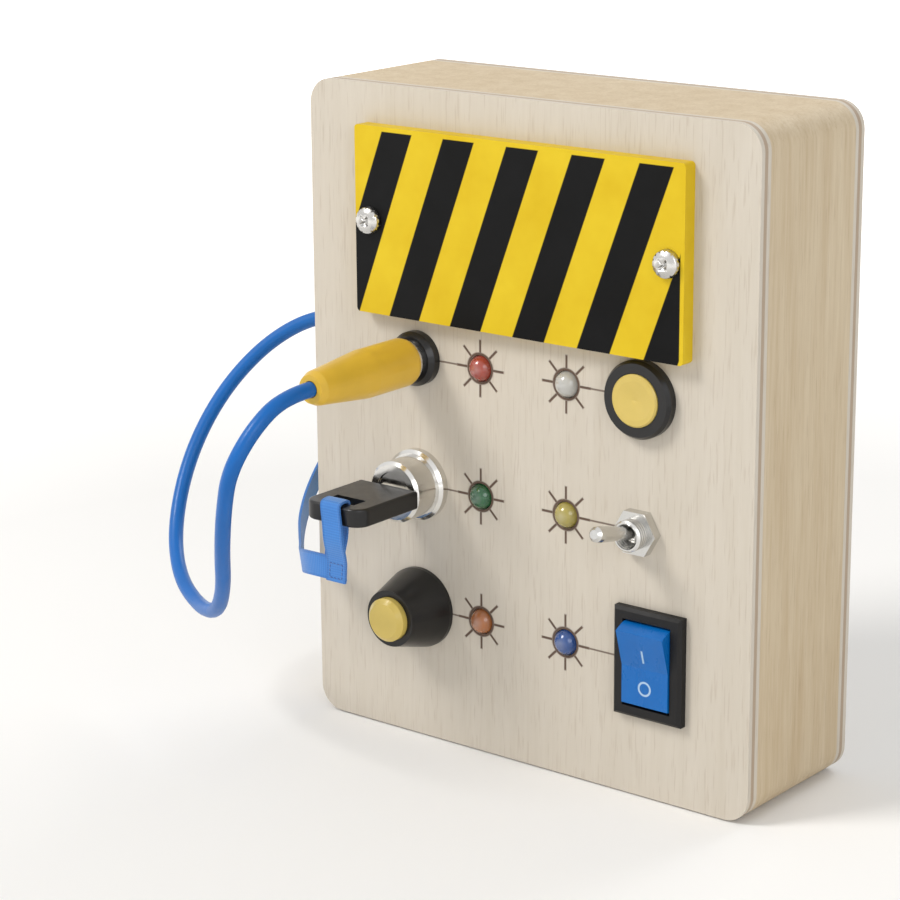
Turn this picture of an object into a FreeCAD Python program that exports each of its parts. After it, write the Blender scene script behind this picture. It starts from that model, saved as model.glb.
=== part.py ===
import FreeCAD, Part
import math
import os
from types import SimpleNamespace

import Sketcher
from FreeCAD import Placement, Rotation, Vector

# Wooden busy board: a small glued case that stands upright, with switches, lamps and a tethered
# plug and key on its front. X runs to the right, the front looks along -Y, Z is up, and the
# origin is the centre of the case's bottom face. Lengths are millimetres, angles are degrees.

os.makedirs("parts", exist_ok=True)
doc = FreeCAD.newDocument("busy_board")

# Driving dimensions

SIZES = {
    # case
    "case_width": 102.0,
    "case_height": 128.0,
    "case_depth": 34.0,
    "corner_radius": 5.0,
    "panel_thick": 3.0,
    "rail_thick": 8.0,
    # grid of the controls
    "row_low": 26.5,
    "row_drop": 8.0,
    "lamp_offset": 10.0,
    "left_offset": 25.0,
    "latch_offset": 26.9,
    "toggle_offset": 26.7,
    "rocker_offset": 29.7,
    # fits
    "slide_gap": 0.1,
    "hole_gap": 0.1,
    "face_gap": 0.3,
    # back screws
    "back_screw_inset": 9.0,
    "back_screw_head": 2.8,
    "back_screw_shank": 1.4,
    "back_screw_length": 15.0,
    # battery cover and its screws
    "cover_width": 75.0,
    "cover_height": 36.0,
    "cover_thick": 3.0,
    "cover_drop": 7.5,
    "cover_corner": 0.8,
    "cover_screw_offset": 34.0,
    "cover_screw_head": 2.65,
    "cover_screw_rise": 1.8,
    "cover_screw_shank": 1.3,
    "cover_screw_length": 11.0,
    # battery tray and cells
    "tray_wall": 1.4,
    "tray_flange": 1.6,
    "tray_flange_margin": 1.3,
    "boss_radius": 3.0,
    "boss_length": 8.5,
    "cell_radius": 5.25,
    "cell_length": 43.6,
    "cell_nub_radius": 1.9,
    "cell_nub": 0.9,
    "cell_gap": 1.2,
    "cell_spring": 4.6,
    "contact_thick": 0.4,
    "contact_side": 8.0,
    # lamps and their board
    "lamp_radius": 2.5,
    "lamp_flange_radius": 2.9,
    "lamp_flange": 1.0,
    "lamp_length": 8.6,
    "lamp_rise": 1.8,
    "pin_side": 0.5,
    "pin_hole_radius": 0.45,
    "pin_half_pitch": 1.27,
    "pin_tail": 1.2,
    "board_width": 30.0,
    "board_thick": 1.6,
    "board_margin": 6.5,
    "spacer_radius": 2.5,
    "board_screw_shank": 1.1,
    "board_screw_head": 2.0,
    "board_screw_rise": 1.4,
    "board_screw_bite": 2.0,
    "resistor_radius": 0.9,
    "resistor_length": 6.0,
    "resistor_offset": 4.6,
    # plug socket
    "socket_flange_radius": 5.3,
    "socket_flange": 2.6,
    "socket_neck_radius": 3.9,
    "socket_sleeve_radius": 3.0,
    "socket_bore": 2.05,
    "socket_rim_radius": 3.7,
    "socket_rim": 0.8,
    "socket_tail": 9.0,
    "small_nut_flats": 8.0,
    "small_nut": 2.4,
    # plug
    "plug_radius": 4.7,
    "plug_end_radius": 3.3,
    "plug_length": 26.5,
    "plug_collar_radius": 4.1,
    "plug_collar": 0.9,
    "plug_pin_radius": 2.0,
    "plug_pin_length": 15.0,
    "plug_core_radius": 1.1,
    "plug_nose_radius": 1.6,
    "plug_nose": 2.4,
    "plug_shoulder": 1.2,
    "cage_wall": 0.4,
    "cage_bow": 0.4,
    "cage_slot": 0.5,
    "cord_radius": 1.5,
    "cord_depth": 2.0,
    "cord_tail": 8.0,
    "tie_radius": 2.7,
    "tie_width": 2.4,
    # lock and key
    "lock_flange_radius": 7.0,
    "lock_flange": 2.0,
    "lock_face": 8.0,
    "lock_chamfer": 0.6,
    "thread_radius": 6.0,
    "lock_length": 15.0,
    "lock_base_thick": 4.0,
    "rotor_radius": 3.9,
    "rotor_recess": 0.4,
    "keyway_depth": 15.0,
    "blade_width": 7.0,
    "blade_thick": 2.0,
    "blade_gap": 0.12,
    "blade_length": 14.0,
    "blade_tang": 5.0,
    "blade_notch": 1.3,
    "key_stand_off": 1.2,
    "key_head_width": 14.0,
    "key_head_length": 17.0,
    "key_head_thick": 3.6,
    "key_head_round": 3.0,
    "key_bar": 2.6,
    "key_slot_width": 7.0,
    "key_slot_length": 3.6,
    "key_edge_round": 0.5,
    # ribbon
    "ribbon_width": 4.6,
    "ribbon_thick": 0.6,
    "ribbon_drop": 13.2,
    "ribbon_rise": 4.5,
    "ribbon_depth": 4.0,
    "ribbon_lean": 24.8,
    "knot_radius": 3.4,
    # nuts on the panel's inner side
    "nut_flats": 14.0,
    "nut_thick": 2.6,
    # push button
    "push_base_radius": 8.0,
    "push_top_radius": 5.6,
    "push_rise": 9.5,
    "push_bore": 4.4,
    "push_cap_rise": 2.0,
    "push_lip": 5.6,
    "push_collar_radius": 5.1,
    "push_collar": 1.6,
    "push_length": 12.0,
    "push_floor": 1.5,
    # latching button
    "latch_flange_radius": 7.3,
    "latch_flange": 2.3,
    "latch_bore": 5.0,
    "latch_rise": 0.5,
    "latch_stem": 12.0,
    "latch_length": 13.0,
    "latch_floor": 1.5,
    # toggle switch
    "toggle_width": 8.0,
    "toggle_height": 13.2,
    "toggle_length": 9.6,
    "toggle_stand_off": 1.6,
    "toggle_thread_radius": 3.0,
    "toggle_thread_rise": 4.5,
    "toggle_nut": 2.0,
    "toggle_ball": 2.0,
    "toggle_ball_depth": 3.2,
    "toggle_lever_length": 10.2,
    "toggle_root_radius": 1.05,
    "toggle_tip_radius": 1.55,
    "toggle_angle": 12.5,
    # rocker switch
    "rocker_width": 15.0,
    "rocker_height": 21.0,
    "rocker_bezel": 2.0,
    "rocker_body_width": 13.0,
    "rocker_body_height": 19.0,
    "rocker_body_length": 11.5,
    "rocker_well_width": 10.6,
    "rocker_well_height": 16.8,
    "rocker_well_depth": 8.5,
    "paddle_width": 10.2,
    "paddle_radius": 8.1,
    "paddle_pivot": 2.5,
    "paddle_proud": 0.4,
    "paddle_angle": 8.0,
    "paddle_underside": 2.4,
    "paddle_foot": 5.0,
    "paddle_pin_radius": 1.0,
    "paddle_pin": 0.8,
    # solder lugs and inner leads
    "lug_width": 2.4,
    "lug_thick": 0.6,
    "lug_length": 4.0,
    "lug_half_pitch": 2.6,
    "lead_radius": 0.6,
    "lead_clear": 3.0,
    "lead_inset": 2.0,
}


class Size:
    """A length together with the formula that ties it to the sheet."""

    def __init__(self, number, text):
        self.number = number
        self.text = text

    def joined(self, other, sign, number):
        return Size(number, f"({self.text} {sign} {text_of(other)})")

    def __add__(self, other):
        return self.joined(other, "+", self.number + number_of(other))

    def __sub__(self, other):
        return self.joined(other, "-", self.number - number_of(other))

    def __mul__(self, other):
        return self.joined(other, "*", self.number * number_of(other))

    def __truediv__(self, other):
        return self.joined(other, "/", self.number / number_of(other))

    def __radd__(self, other):
        return self + other

    def __rmul__(self, other):
        return self * other

    def __rsub__(self, other):
        return (-self) + other

    def __neg__(self):
        return self * -1


def number_of(value):
    return value.number if isinstance(value, Size) else float(value)


def text_of(value):
    return value.text if isinstance(value, Size) else f"({value})"


sheet = doc.addObject("Spreadsheet::Sheet", "Sizes")
for row, (alias, value) in enumerate(SIZES.items(), 1):
    sheet.set(f"A{row}", alias)
    sheet.set(f"B{row}", str(value))
    sheet.setAlias(f"B{row}", alias)
doc.recompute()
S = SimpleNamespace(**{name: Size(value, f"Sizes.{name}") for name, value in SIZES.items()})

# Places that several pieces share

front = -S.case_depth / 2
inner = front + S.panel_thick
back = S.case_depth / 2
back_inner = back - S.panel_thick
cover_centre = S.case_height - S.cover_drop - S.cover_height / 2
row_top = cover_centre - S.cover_height / 2 - S.row_drop
row_pitch = (row_top - S.row_low) / 2
row_middle = S.row_low + row_pitch
left_x = -S.left_offset
cord_height = row_top
ribbon_height = row_middle + S.ribbon_rise
ROWS = [row_top, row_middle, S.row_low]
cover_front = front - S.cover_thick

ribbon_foot = row_middle - S.ribbon_drop
ribbon_hole = S.ribbon_width / 2 + S.hole_gap * 2

NODES = {}


# Small tools for sketches and features


def bind(item, prop, value):
    """Ties a property to the sheet where its value comes from there."""
    if isinstance(value, Size):
        item.setExpression(prop, value.text)


def place(item, x=0, y=0, z=0, turn=None):
    """Puts an item at a point whose coordinates stay tied to the sheet."""
    spot = Vector(number_of(x), number_of(y), number_of(z))
    item.Placement = Placement(spot, turn or Rotation())
    for name, value in (("x", x), ("y", y), ("z", z)):
        bind(item, f"Placement.Base.{name}", value)
    return item


def body(label, x=0, y=0, z=0, turn=None):
    made = doc.addObject("PartDesign::Body", label)
    made.Label = label
    return place(made, x, y, z, turn)


def sketch(owner, role, height=0):
    """A sketch on one of the body's origin planes, raised along that plane's normal."""
    drawing = owner.newObject("Sketcher::SketchObject", f"{owner.Name}_sketch")
    support = next(f for f in owner.Origin.OriginFeatures if f.Role == role)
    drawing.AttachmentSupport = (support, [""])
    drawing.MapMode = "FlatFace"
    drawing.AttachmentOffset = Placement(Vector(0, 0, number_of(height)), Rotation())
    bind(drawing, "AttachmentOffset.Base.z", height)
    return drawing


def facing(owner, y):
    """A sketch parallel to the front panel at the depth y. Its normal looks along -Y."""
    return sketch(owner, "XZ_Plane", -y if isinstance(y, Size) else -float(y))


def pin_point(drawing, element, corner, x, y):
    """Dimensions one point of a sketch from the sketch's origin."""
    for kind, value, axis in (("DistanceX", x, -2), ("DistanceY", y, -1)):
        if not isinstance(value, Size) and value == 0:
            drawing.addConstraint(Sketcher.Constraint("PointOnObject", element, corner, axis))
            continue
        rule = Sketcher.Constraint(kind, -1, 1, element, corner, number_of(value))
        index = drawing.addConstraint(rule)
        bind(drawing, f"Constraints[{index}]", value)


def polygon(drawing, points):
    """A closed outline through points, each dimensioned from the origin."""
    first = drawing.GeometryCount
    count = len(points)
    spots = [Vector(number_of(x), number_of(y), 0) for x, y in points]
    for i in range(count):
        drawing.addGeometry(Part.LineSegment(spots[i], spots[(i + 1) % count]), False)
    for i in range(count):
        following = first + (i + 1) % count
        drawing.addConstraint(Sketcher.Constraint("Coincident", first + i, 2, following, 1))
    for i, (x, y) in enumerate(points):
        pin_point(drawing, first + i, 1, x, y)


def rectangle(drawing, x0, x1, y0, y1):
    polygon(drawing, [(x0, y0), (x1, y0), (x1, y1), (x0, y1)])


def circle(drawing, x, y, radius):
    index = drawing.GeometryCount
    middle = Vector(number_of(x), number_of(y), 0)
    drawing.addGeometry(Part.Circle(middle, Vector(0, 0, 1), number_of(radius)), False)
    pin_point(drawing, index, 3, x, y)
    rule = drawing.addConstraint(Sketcher.Constraint("Radius", index, number_of(radius)))
    bind(drawing, f"Constraints[{rule}]", radius)


def pad(owner, drawing, length, backwards=False):
    """Adds material along the sketch's normal, or against it."""
    made = owner.newObject("PartDesign::Pad", f"{owner.Name}_pad")
    made.Profile = drawing
    made.Length = number_of(length)
    bind(made, "Length", length)
    made.Reversed = backwards
    doc.recompute()
    return made


def pocket(owner, drawing, length, backwards=False):
    """Removes material against the sketch's normal, or along it, and makes sure that it did."""
    before = owner.Shape.Volume
    made = owner.newObject("PartDesign::Pocket", f"{owner.Name}_pocket")
    made.Profile = drawing
    made.Length = number_of(length)
    bind(made, "Length", length)
    made.Reversed = backwards
    doc.recompute()
    if not owner.Shape.Volume < before:
        raise RuntimeError(f"a pocket in {owner.Label} cuts nothing")
    return made


def revolve(owner, points, groove=False):
    """Turns an outline of (radius, y) points about the body's own Y axis."""
    drawing = sketch(owner, "XY_Plane")
    polygon(drawing, points)
    kind = "Groove" if groove else "Revolution"
    before = owner.Shape.Volume if groove else 0
    made = owner.newObject(f"PartDesign::{kind}", f"{owner.Name}_turn")
    made.Profile = drawing
    made.ReferenceAxis = (drawing, ["V_Axis"])
    made.Angle = 360
    doc.recompute()
    if groove and not owner.Shape.Volume < before:
        raise RuntimeError(f"a groove in {owner.Label} cuts nothing")
    return made


def dress(owner, kind, size, wanted):
    """Rounds or bevels the edges of a body's tip for which wanted(edge) is true."""
    base = owner.Tip
    names = [f"Edge{i}" for i, edge in enumerate(base.Shape.Edges, 1) if wanted(edge)]
    if not names:
        raise RuntimeError(f"no edge of {owner.Label} to dress")
    made = owner.newObject(f"PartDesign::{kind}", f"{owner.Name}_{kind.lower()}")
    made.Base = (base, names)
    prop = "Radius" if kind == "Fillet" else "Size"
    setattr(made, prop, number_of(size))
    bind(made, prop, size)
    doc.recompute()
    return made


def runs_along(edge, axis):
    """True for a straight edge parallel to an axis given as 0, 1 or 2."""
    if edge.Curve.TypeId != "Part::GeomLine":
        return False
    return abs(edge.tangentAt(edge.FirstParameter)[axis]) > 0.999


def circle_at(edge, y, radius):
    """True for a circular edge of that radius at that depth in the body's own frame."""
    if edge.Curve.TypeId != "Part::GeomCircle":
        return False
    return (
        abs(edge.Curve.Center.y - number_of(y)) < 0.01
        and abs(edge.Curve.Radius - number_of(radius)) < 0.01
    )


def turned(label, x, z, points):
    """A body turned about an axis along Y through (x, z)."""
    made = body(label, x, 0, z)
    revolve(made, points)
    return made


LEAD_SIDES = 6
CORD_SIDES = 8
TO_BACK = Rotation(Vector(1, 0, 0), -90)
TO_RIGHT = Rotation(Vector(0, 1, 0), 90)


def rod(label, x, y, z, radius, length, turn=TO_BACK):
    """A plain round bar that starts at a point and runs towards the back unless turned."""
    made = doc.addObject("Part::Cylinder", label)
    made.Radius = number_of(radius)
    made.Height = number_of(length)
    bind(made, "Radius", radius)
    bind(made, "Height", length)
    return place(made, x, y, z, turn)


def block(label, x0, x1, y0, y1, z0, z1):
    """A plain box between two corners."""
    made = doc.addObject("Part::Box", label)
    for prop, low, high in (("Length", x0, x1), ("Width", y0, y1), ("Height", z0, z1)):
        span = high - low
        setattr(made, prop, number_of(span))
        bind(made, prop, span)
    return place(made, x0, y0, z0)


def group(label, items):
    """Separate solids of one kind, kept together in one node."""
    made = doc.addObject("Part::Compound", label)
    made.Links = items
    return made


def hex_nut(label, x, y, z, flats, thick, bore):
    """A hexagon nut whose bore clears its thread by the running gap."""
    blank = doc.addObject("Part::Prism", f"{label}_blank")
    blank.Polygon = 6
    across = flats / math.sqrt(3)
    blank.Circumradius = number_of(across)
    bind(blank, "Circumradius", across)
    blank.Height = number_of(thick)
    bind(blank, "Height", thick)
    place(blank, x, y, z, TO_BACK)
    made = doc.addObject("Part::Cut", label)
    made.Base = blank
    made.Tool = rod(f"{label}_bore", x, y, z, bore, thick)
    return made


def keep(label, item):
    """Names the item as a node of the finished part."""
    item.Label = label
    NODES[label] = item
    return item


# Case


def panel(label, y):
    """A thin board with the case's outline, from the depth y towards the back."""
    made = body(label)
    drawing = facing(made, y)
    rectangle(drawing, -S.case_width / 2, S.case_width / 2, 0, S.case_height)
    pad(made, drawing, S.panel_thick, backwards=True)
    dress(made, "Fillet", S.corner_radius, lambda edge: runs_along(edge, 1))
    return keep(label, made)


def make_front_panel():
    made = panel("front_panel", front)
    drawing = facing(made, front)
    for side in (-1, 1):
        circle(drawing, S.cover_screw_offset * side, cover_centre,
               S.cover_screw_shank + S.face_gap)
        for height in ROWS:
            circle(drawing, S.lamp_offset * side, height, S.lamp_radius + S.hole_gap)
    circle(drawing, left_x, row_top, S.socket_neck_radius + S.hole_gap)
    circle(drawing, left_x, row_middle, S.thread_radius + S.hole_gap)
    circle(drawing, left_x, S.row_low, S.thread_radius + S.hole_gap)
    circle(drawing, S.latch_offset, row_top, S.thread_radius + S.hole_gap)
    circle(drawing, S.toggle_offset, row_middle, S.toggle_thread_radius + S.hole_gap)
    half = tray_half_length
    rectangle(drawing, -half, half, cover_centre - tray_half_height,
              cover_centre + tray_half_height)
    half = S.rocker_body_width / 2 + S.hole_gap
    tall = S.rocker_body_height / 2 + S.hole_gap
    rectangle(drawing, S.rocker_offset - half, S.rocker_offset + half,
              S.row_low - tall, S.row_low + tall)
    pocket(made, drawing, S.panel_thick)
    bites = facing(made, inner)
    for height in spacer_rows:
        circle(bites, 0, height, S.board_screw_shank)
    pocket(made, bites, S.board_screw_bite, backwards=True)


def side_rail(label, side):
    """A full-height side rail with its two outer corners rounded like the panels."""
    made = body(label)
    drawing = facing(made, inner)
    edge_x = S.case_width / 2 * side
    rectangle(drawing, edge_x - S.rail_thick * side, edge_x, 0, S.case_height)
    pad(made, drawing, back_inner - inner, backwards=True)
    outer = number_of(edge_x)
    dress(made, "Fillet", S.corner_radius,
          lambda edge: runs_along(edge, 1) and abs(edge.CenterOfMass.x - outer) < 0.01)
    pilots = facing(made, back_inner)
    for height in screw_rows:
        circle(pilots, screw_x * side, height, S.back_screw_shank)
    pocket(made, pilots, S.back_screw_length - S.panel_thick, backwards=True)
    return keep(label, made)


def make_rails():
    left = side_rail("left_rail", -1)
    holes = sketch(left, "YZ_Plane", -S.case_width / 2)
    circle(holes, S.cord_depth, cord_height, S.cord_radius + S.hole_gap)
    circle(holes, S.ribbon_depth, ribbon_height, ribbon_hole)
    pocket(left, holes, S.rail_thick, backwards=True)
    side_rail("right_rail", 1)
    reach = S.case_width / 2 - S.rail_thick
    bottom = block("bottom_rail", -reach, reach, inner, back_inner, 0, S.rail_thick)
    keep("bottom_rail", bottom)
    top = block("top_rail", -reach, reach, inner, back_inner,
                S.case_height - S.rail_thick, S.case_height)
    keep("top_rail", top)


def make_back():
    made = panel("back_panel", back_inner)
    drawing = facing(made, back_inner)
    for side in (-1, 1):
        for height in screw_rows:
            circle(drawing, screw_x * side, height, S.back_screw_shank + S.hole_gap)
    pocket(made, drawing, S.panel_thick)
    clear = S.back_screw_shank + S.hole_gap
    dress(made, "Chamfer", S.back_screw_head - S.back_screw_shank,
          lambda edge: circle_at(edge, back, clear))
    screws = []
    for side in (-1, 1):
        for name, height in zip(("low", "high"), screw_rows):
            outline = [
                (0, back),
                (S.back_screw_head, back),
                (S.back_screw_shank, back - (S.back_screw_head - S.back_screw_shank)),
                (S.back_screw_shank, back - S.back_screw_length + S.back_screw_shank * 2),
                (0, back - S.back_screw_length),
            ]
            corner = "left" if side < 0 else "right"
            screws.append(turned(f"back_screw_{name}_{corner}", screw_x * side, height, outline))
    keep("back_screws", group("back_screws", screws))


screw_x = S.case_width / 2 - S.rail_thick / 2
screw_rows = [S.back_screw_inset, S.case_height - S.back_screw_inset]

# Battery bay

tray_half_length = (
    S.cell_length + S.cell_nub + S.cell_spring + S.contact_thick * 2 + S.face_gap
) / 2
tray_half_height = S.cell_radius * 2 + S.cell_gap
cell_height = S.cell_radius + S.cell_gap / 2
tray_floor = inner + S.cell_radius * 2 - S.cell_gap / 2
cell_y = tray_floor - S.cell_radius


def make_cover():
    made = body("battery_cover")
    drawing = facing(made, cover_front)
    rectangle(drawing, -S.cover_width / 2, S.cover_width / 2,
              cover_centre - S.cover_height / 2, cover_centre + S.cover_height / 2)
    pad(made, drawing, S.cover_thick, backwards=True)
    dress(made, "Fillet", S.cover_corner, lambda edge: runs_along(edge, 1))
    holes = facing(made, cover_front)
    for side in (-1, 1):
        circle(holes, S.cover_screw_offset * side, cover_centre,
               S.cover_screw_shank + S.face_gap)
    pocket(made, holes, S.cover_thick)
    keep("battery_cover", made)
    screws = []
    for side, name in ((-1, "left"), (1, "right")):
        outline = [
            (0, cover_front - S.cover_screw_rise),
            (S.cover_screw_head * 0.55, cover_front - S.cover_screw_rise),
            (S.cover_screw_head * 0.9, cover_front - S.cover_screw_rise * 0.72),
            (S.cover_screw_head, cover_front - S.cover_screw_rise * 0.3),
            (S.cover_screw_head, cover_front),
            (S.cover_screw_shank, cover_front),
            (S.cover_screw_shank, cover_front + S.cover_screw_length - S.cover_screw_shank),
            (0, cover_front + S.cover_screw_length),
        ]
        screws.append(turned(f"cover_screw_{name}", S.cover_screw_offset * side,
                             cover_centre, outline))
    keep("cover_screws", group("cover_screws", screws))


def make_tray():
    """An open moulded tray behind the panel's window, with a boss for each cover screw."""
    made = body("battery_tray")
    wide = S.cover_width / 2
    tall = tray_half_height + S.tray_wall + S.tray_flange_margin
    flange = facing(made, inner)
    rectangle(flange, -wide, wide, cover_centre - tall, cover_centre + tall)
    pad(made, flange, S.tray_flange, backwards=True)
    walls = facing(made, inner)
    wide = tray_half_length + S.tray_wall
    tall = tray_half_height + S.tray_wall
    rectangle(walls, -wide, wide, cover_centre - tall, cover_centre + tall)
    pad(made, walls, tray_floor + S.tray_wall - inner, backwards=True)
    bosses = facing(made, inner)
    for side in (-1, 1):
        circle(bosses, S.cover_screw_offset * side, cover_centre, S.boss_radius)
    pad(made, bosses, S.boss_length, backwards=True)
    well = facing(made, inner)
    rectangle(well, -tray_half_length, tray_half_length,
              cover_centre - tray_half_height, cover_centre + tray_half_height)
    pocket(made, well, tray_floor - inner)
    pilots = facing(made, inner)
    for side in (-1, 1):
        circle(pilots, S.cover_screw_offset * side, cover_centre, S.cover_screw_shank)
    pocket(made, pilots, S.boss_length)
    keep("battery_tray", made)


def make_cells():
    """Two cells side by side, turned opposite ways, with springs at their flat ends."""
    cells = []
    springs = []
    end = tray_half_length - S.contact_thick
    for side, name in ((-1, "low"), (1, "high")):
        height = cover_centre + cell_height * side
        turn = Rotation(Vector(0, 1, 0), 90 * side)
        start = -end * side + S.cell_spring * side
        can = rod(f"can_{name}", start, cell_y, height, S.cell_radius, S.cell_length, turn)
        nub = rod(f"nub_{name}", start + S.cell_length * side, cell_y, height,
                  S.cell_nub_radius, S.cell_nub, turn)
        cell = doc.addObject("Part::MultiFuse", f"cell_{name}")
        cell.Shapes = [can, nub]
        cells.append(cell)
        spring = doc.addObject("Part::Cone", f"spring_{name}")
        spring.Radius1 = number_of(S.contact_side * 0.45)
        spring.Radius2 = number_of(S.cell_nub_radius)
        spring.Height = number_of(S.cell_spring)
        bind(spring, "Radius1", S.contact_side * 0.45)
        bind(spring, "Radius2", S.cell_nub_radius)
        bind(spring, "Height", S.cell_spring)
        springs.append(place(spring, -end * side, cell_y, height, turn))
    keep("battery_cells", group("battery_cells", cells))
    keep("battery_springs", group("battery_springs", springs))
    half = S.contact_side / 2
    low = cover_centre - cell_height
    high = cover_centre + cell_height
    plates = [
        block("contact_link", -tray_half_length, -end, cell_y - half, cell_y + half,
              low - half, high + half),
        block("contact_low", end, tray_half_length, cell_y - half, cell_y + half,
              low - half, low + half),
        block("contact_high", end, tray_half_length, cell_y - half, cell_y + half,
              high - half, high + half),
    ]
    keep("battery_contacts", group("battery_contacts", plates))


# Lamps and their circuit board

lamp_base = front - S.lamp_rise + S.lamp_length
board_back = lamp_base + S.board_thick
spacer_rows = [S.row_low + row_pitch / 2, row_middle + row_pitch / 2]


def make_lamp(label, x, z):
    """A round lamp with a domed end that stands in its hole and is soldered to the board."""
    dome_y = front - S.lamp_rise + S.lamp_radius
    barrel = rod(f"{label}_barrel", x, dome_y, z, S.lamp_radius, lamp_base - dome_y)
    foot = rod(f"{label}_foot", x, lamp_base - S.lamp_flange, z,
               S.lamp_flange_radius, S.lamp_flange)
    dome = doc.addObject("Part::Sphere", f"{label}_dome")
    dome.Radius = number_of(S.lamp_radius)
    bind(dome, "Radius", S.lamp_radius)
    place(dome, x, dome_y, z, TO_BACK)
    made = doc.addObject("Part::MultiFuse", label)
    made.Shapes = [barrel, foot, dome]
    keep(label, made)


def make_lamps():
    colours = {-1: ["led_red", "led_green", "led_orange"], 1: ["led_white", "led_yellow", "led_blue"]}
    pins = []
    resistors = []
    for side, names in colours.items():
        for name, height in zip(names, ROWS):
            x = S.lamp_offset * side
            make_lamp(name, x, height)
            for way in (-1, 1):
                pin_x = x + S.pin_half_pitch * way
                half = S.pin_side / 2
                pins.append(block(f"{name}_pin", pin_x - half, pin_x + half, lamp_base,
                                  board_back + S.pin_tail, height - half, height + half))
            resistors.append(rod(f"{name}_resistor", S.resistor_offset * side,
                                 board_back + S.resistor_radius,
                                 height - S.resistor_length / 2,
                                 S.resistor_radius, S.resistor_length, Rotation()))
    keep("led_pins", group("led_pins", pins))
    keep("resistors", group("resistors", resistors))


def make_board():
    made = body("led_board")
    drawing = facing(made, lamp_base)
    rectangle(drawing, -S.board_width / 2, S.board_width / 2,
              S.row_low - S.board_margin, row_top + S.board_margin)
    pad(made, drawing, S.board_thick, backwards=True)
    holes = facing(made, lamp_base)
    for height in spacer_rows:
        circle(holes, 0, height, S.board_screw_shank + S.hole_gap)
    for side in (-1, 1):
        for height in ROWS:
            for way in (-1, 1):
                circle(holes, S.lamp_offset * side + S.pin_half_pitch * way, height,
                       S.pin_hole_radius)
    pocket(made, holes, S.board_thick)
    keep("led_board", made)
    spacers = []
    screws = []
    for name, height in zip(("low", "high"), spacer_rows):
        bore = S.board_screw_shank + S.hole_gap
        outline = [(bore, inner), (S.spacer_radius, inner),
                   (S.spacer_radius, lamp_base), (bore, lamp_base)]
        spacers.append(turned(f"spacer_{name}", 0, height, outline))
        outline = [
            (0, inner - S.board_screw_bite),
            (S.board_screw_shank, inner - S.board_screw_bite),
            (S.board_screw_shank, board_back),
            (S.board_screw_head, board_back),
            (S.board_screw_head, board_back + S.board_screw_rise * 0.5),
            (S.board_screw_head * 0.6, board_back + S.board_screw_rise),
            (0, board_back + S.board_screw_rise),
        ]
        screws.append(turned(f"board_screw_{name}", 0, height, outline))
    keep("board_spacers", group("board_spacers", spacers))
    keep("board_screws", group("board_screws", screws))


# Plug and socket

socket_front = front - S.socket_flange
socket_face = socket_front - S.socket_rim
socket_end = inner + S.socket_tail
plug_base = socket_face - S.face_gap
plug_end = plug_base - S.plug_collar - S.plug_length


def make_socket():
    bore = S.socket_sleeve_radius
    collar = turned("socket_collar", left_x, row_top, [
        (bore, socket_front),
        (S.socket_flange_radius * 0.86, socket_front),
        (S.socket_flange_radius, socket_front + S.socket_flange * 0.4),
        (S.socket_flange_radius, front),
        (S.socket_neck_radius, front),
        (S.socket_neck_radius, inner),
        (bore, inner),
    ])
    keep("socket_collar", collar)
    sleeve = turned("socket_sleeve", left_x, row_top, [
        (S.socket_bore, socket_face),
        (S.socket_rim_radius, socket_face),
        (S.socket_rim_radius, socket_front),
        (bore, socket_front),
        (bore, socket_end),
        (S.socket_bore, socket_end),
    ])
    keep("socket_sleeve", sleeve)
    nut = hex_nut("socket_nut", left_x, inner, row_top, S.small_nut_flats, S.small_nut, bore)
    keep("socket_nut", nut)


def make_cage(start, end):
    """The bowed spring cage round the plug's pin, slit into four leaves that grip the socket."""
    within = S.plug_core_radius + S.slide_gap
    bowed = within + S.cage_bow
    third = (end - start) / 3
    cage = doc.addObject("Part::Cut", "plug_cage")
    cage.Base = turned("cage_blank", left_x, row_top, [
        (within, start),
        (bowed, start + third),
        (bowed, end - third),
        (within, end),
        (within + S.cage_wall, end),
        (bowed + S.cage_wall, end - third),
        (bowed + S.cage_wall, start + third),
        (within + S.cage_wall, start),
    ])
    half = S.cage_slot / 2
    wide = S.plug_pin_radius
    low, high = start + third / 2, end - third / 2
    slits = doc.addObject("Part::MultiFuse", "cage_slits")
    slits.Shapes = [
        block("slit_level", left_x - wide, left_x + wide, low, high, row_top - half, row_top + half),
        block("slit_upright", left_x - half, left_x + half, low, high, row_top - wide, row_top + wide),
    ]
    cage.Tool = slits
    return cage


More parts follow.
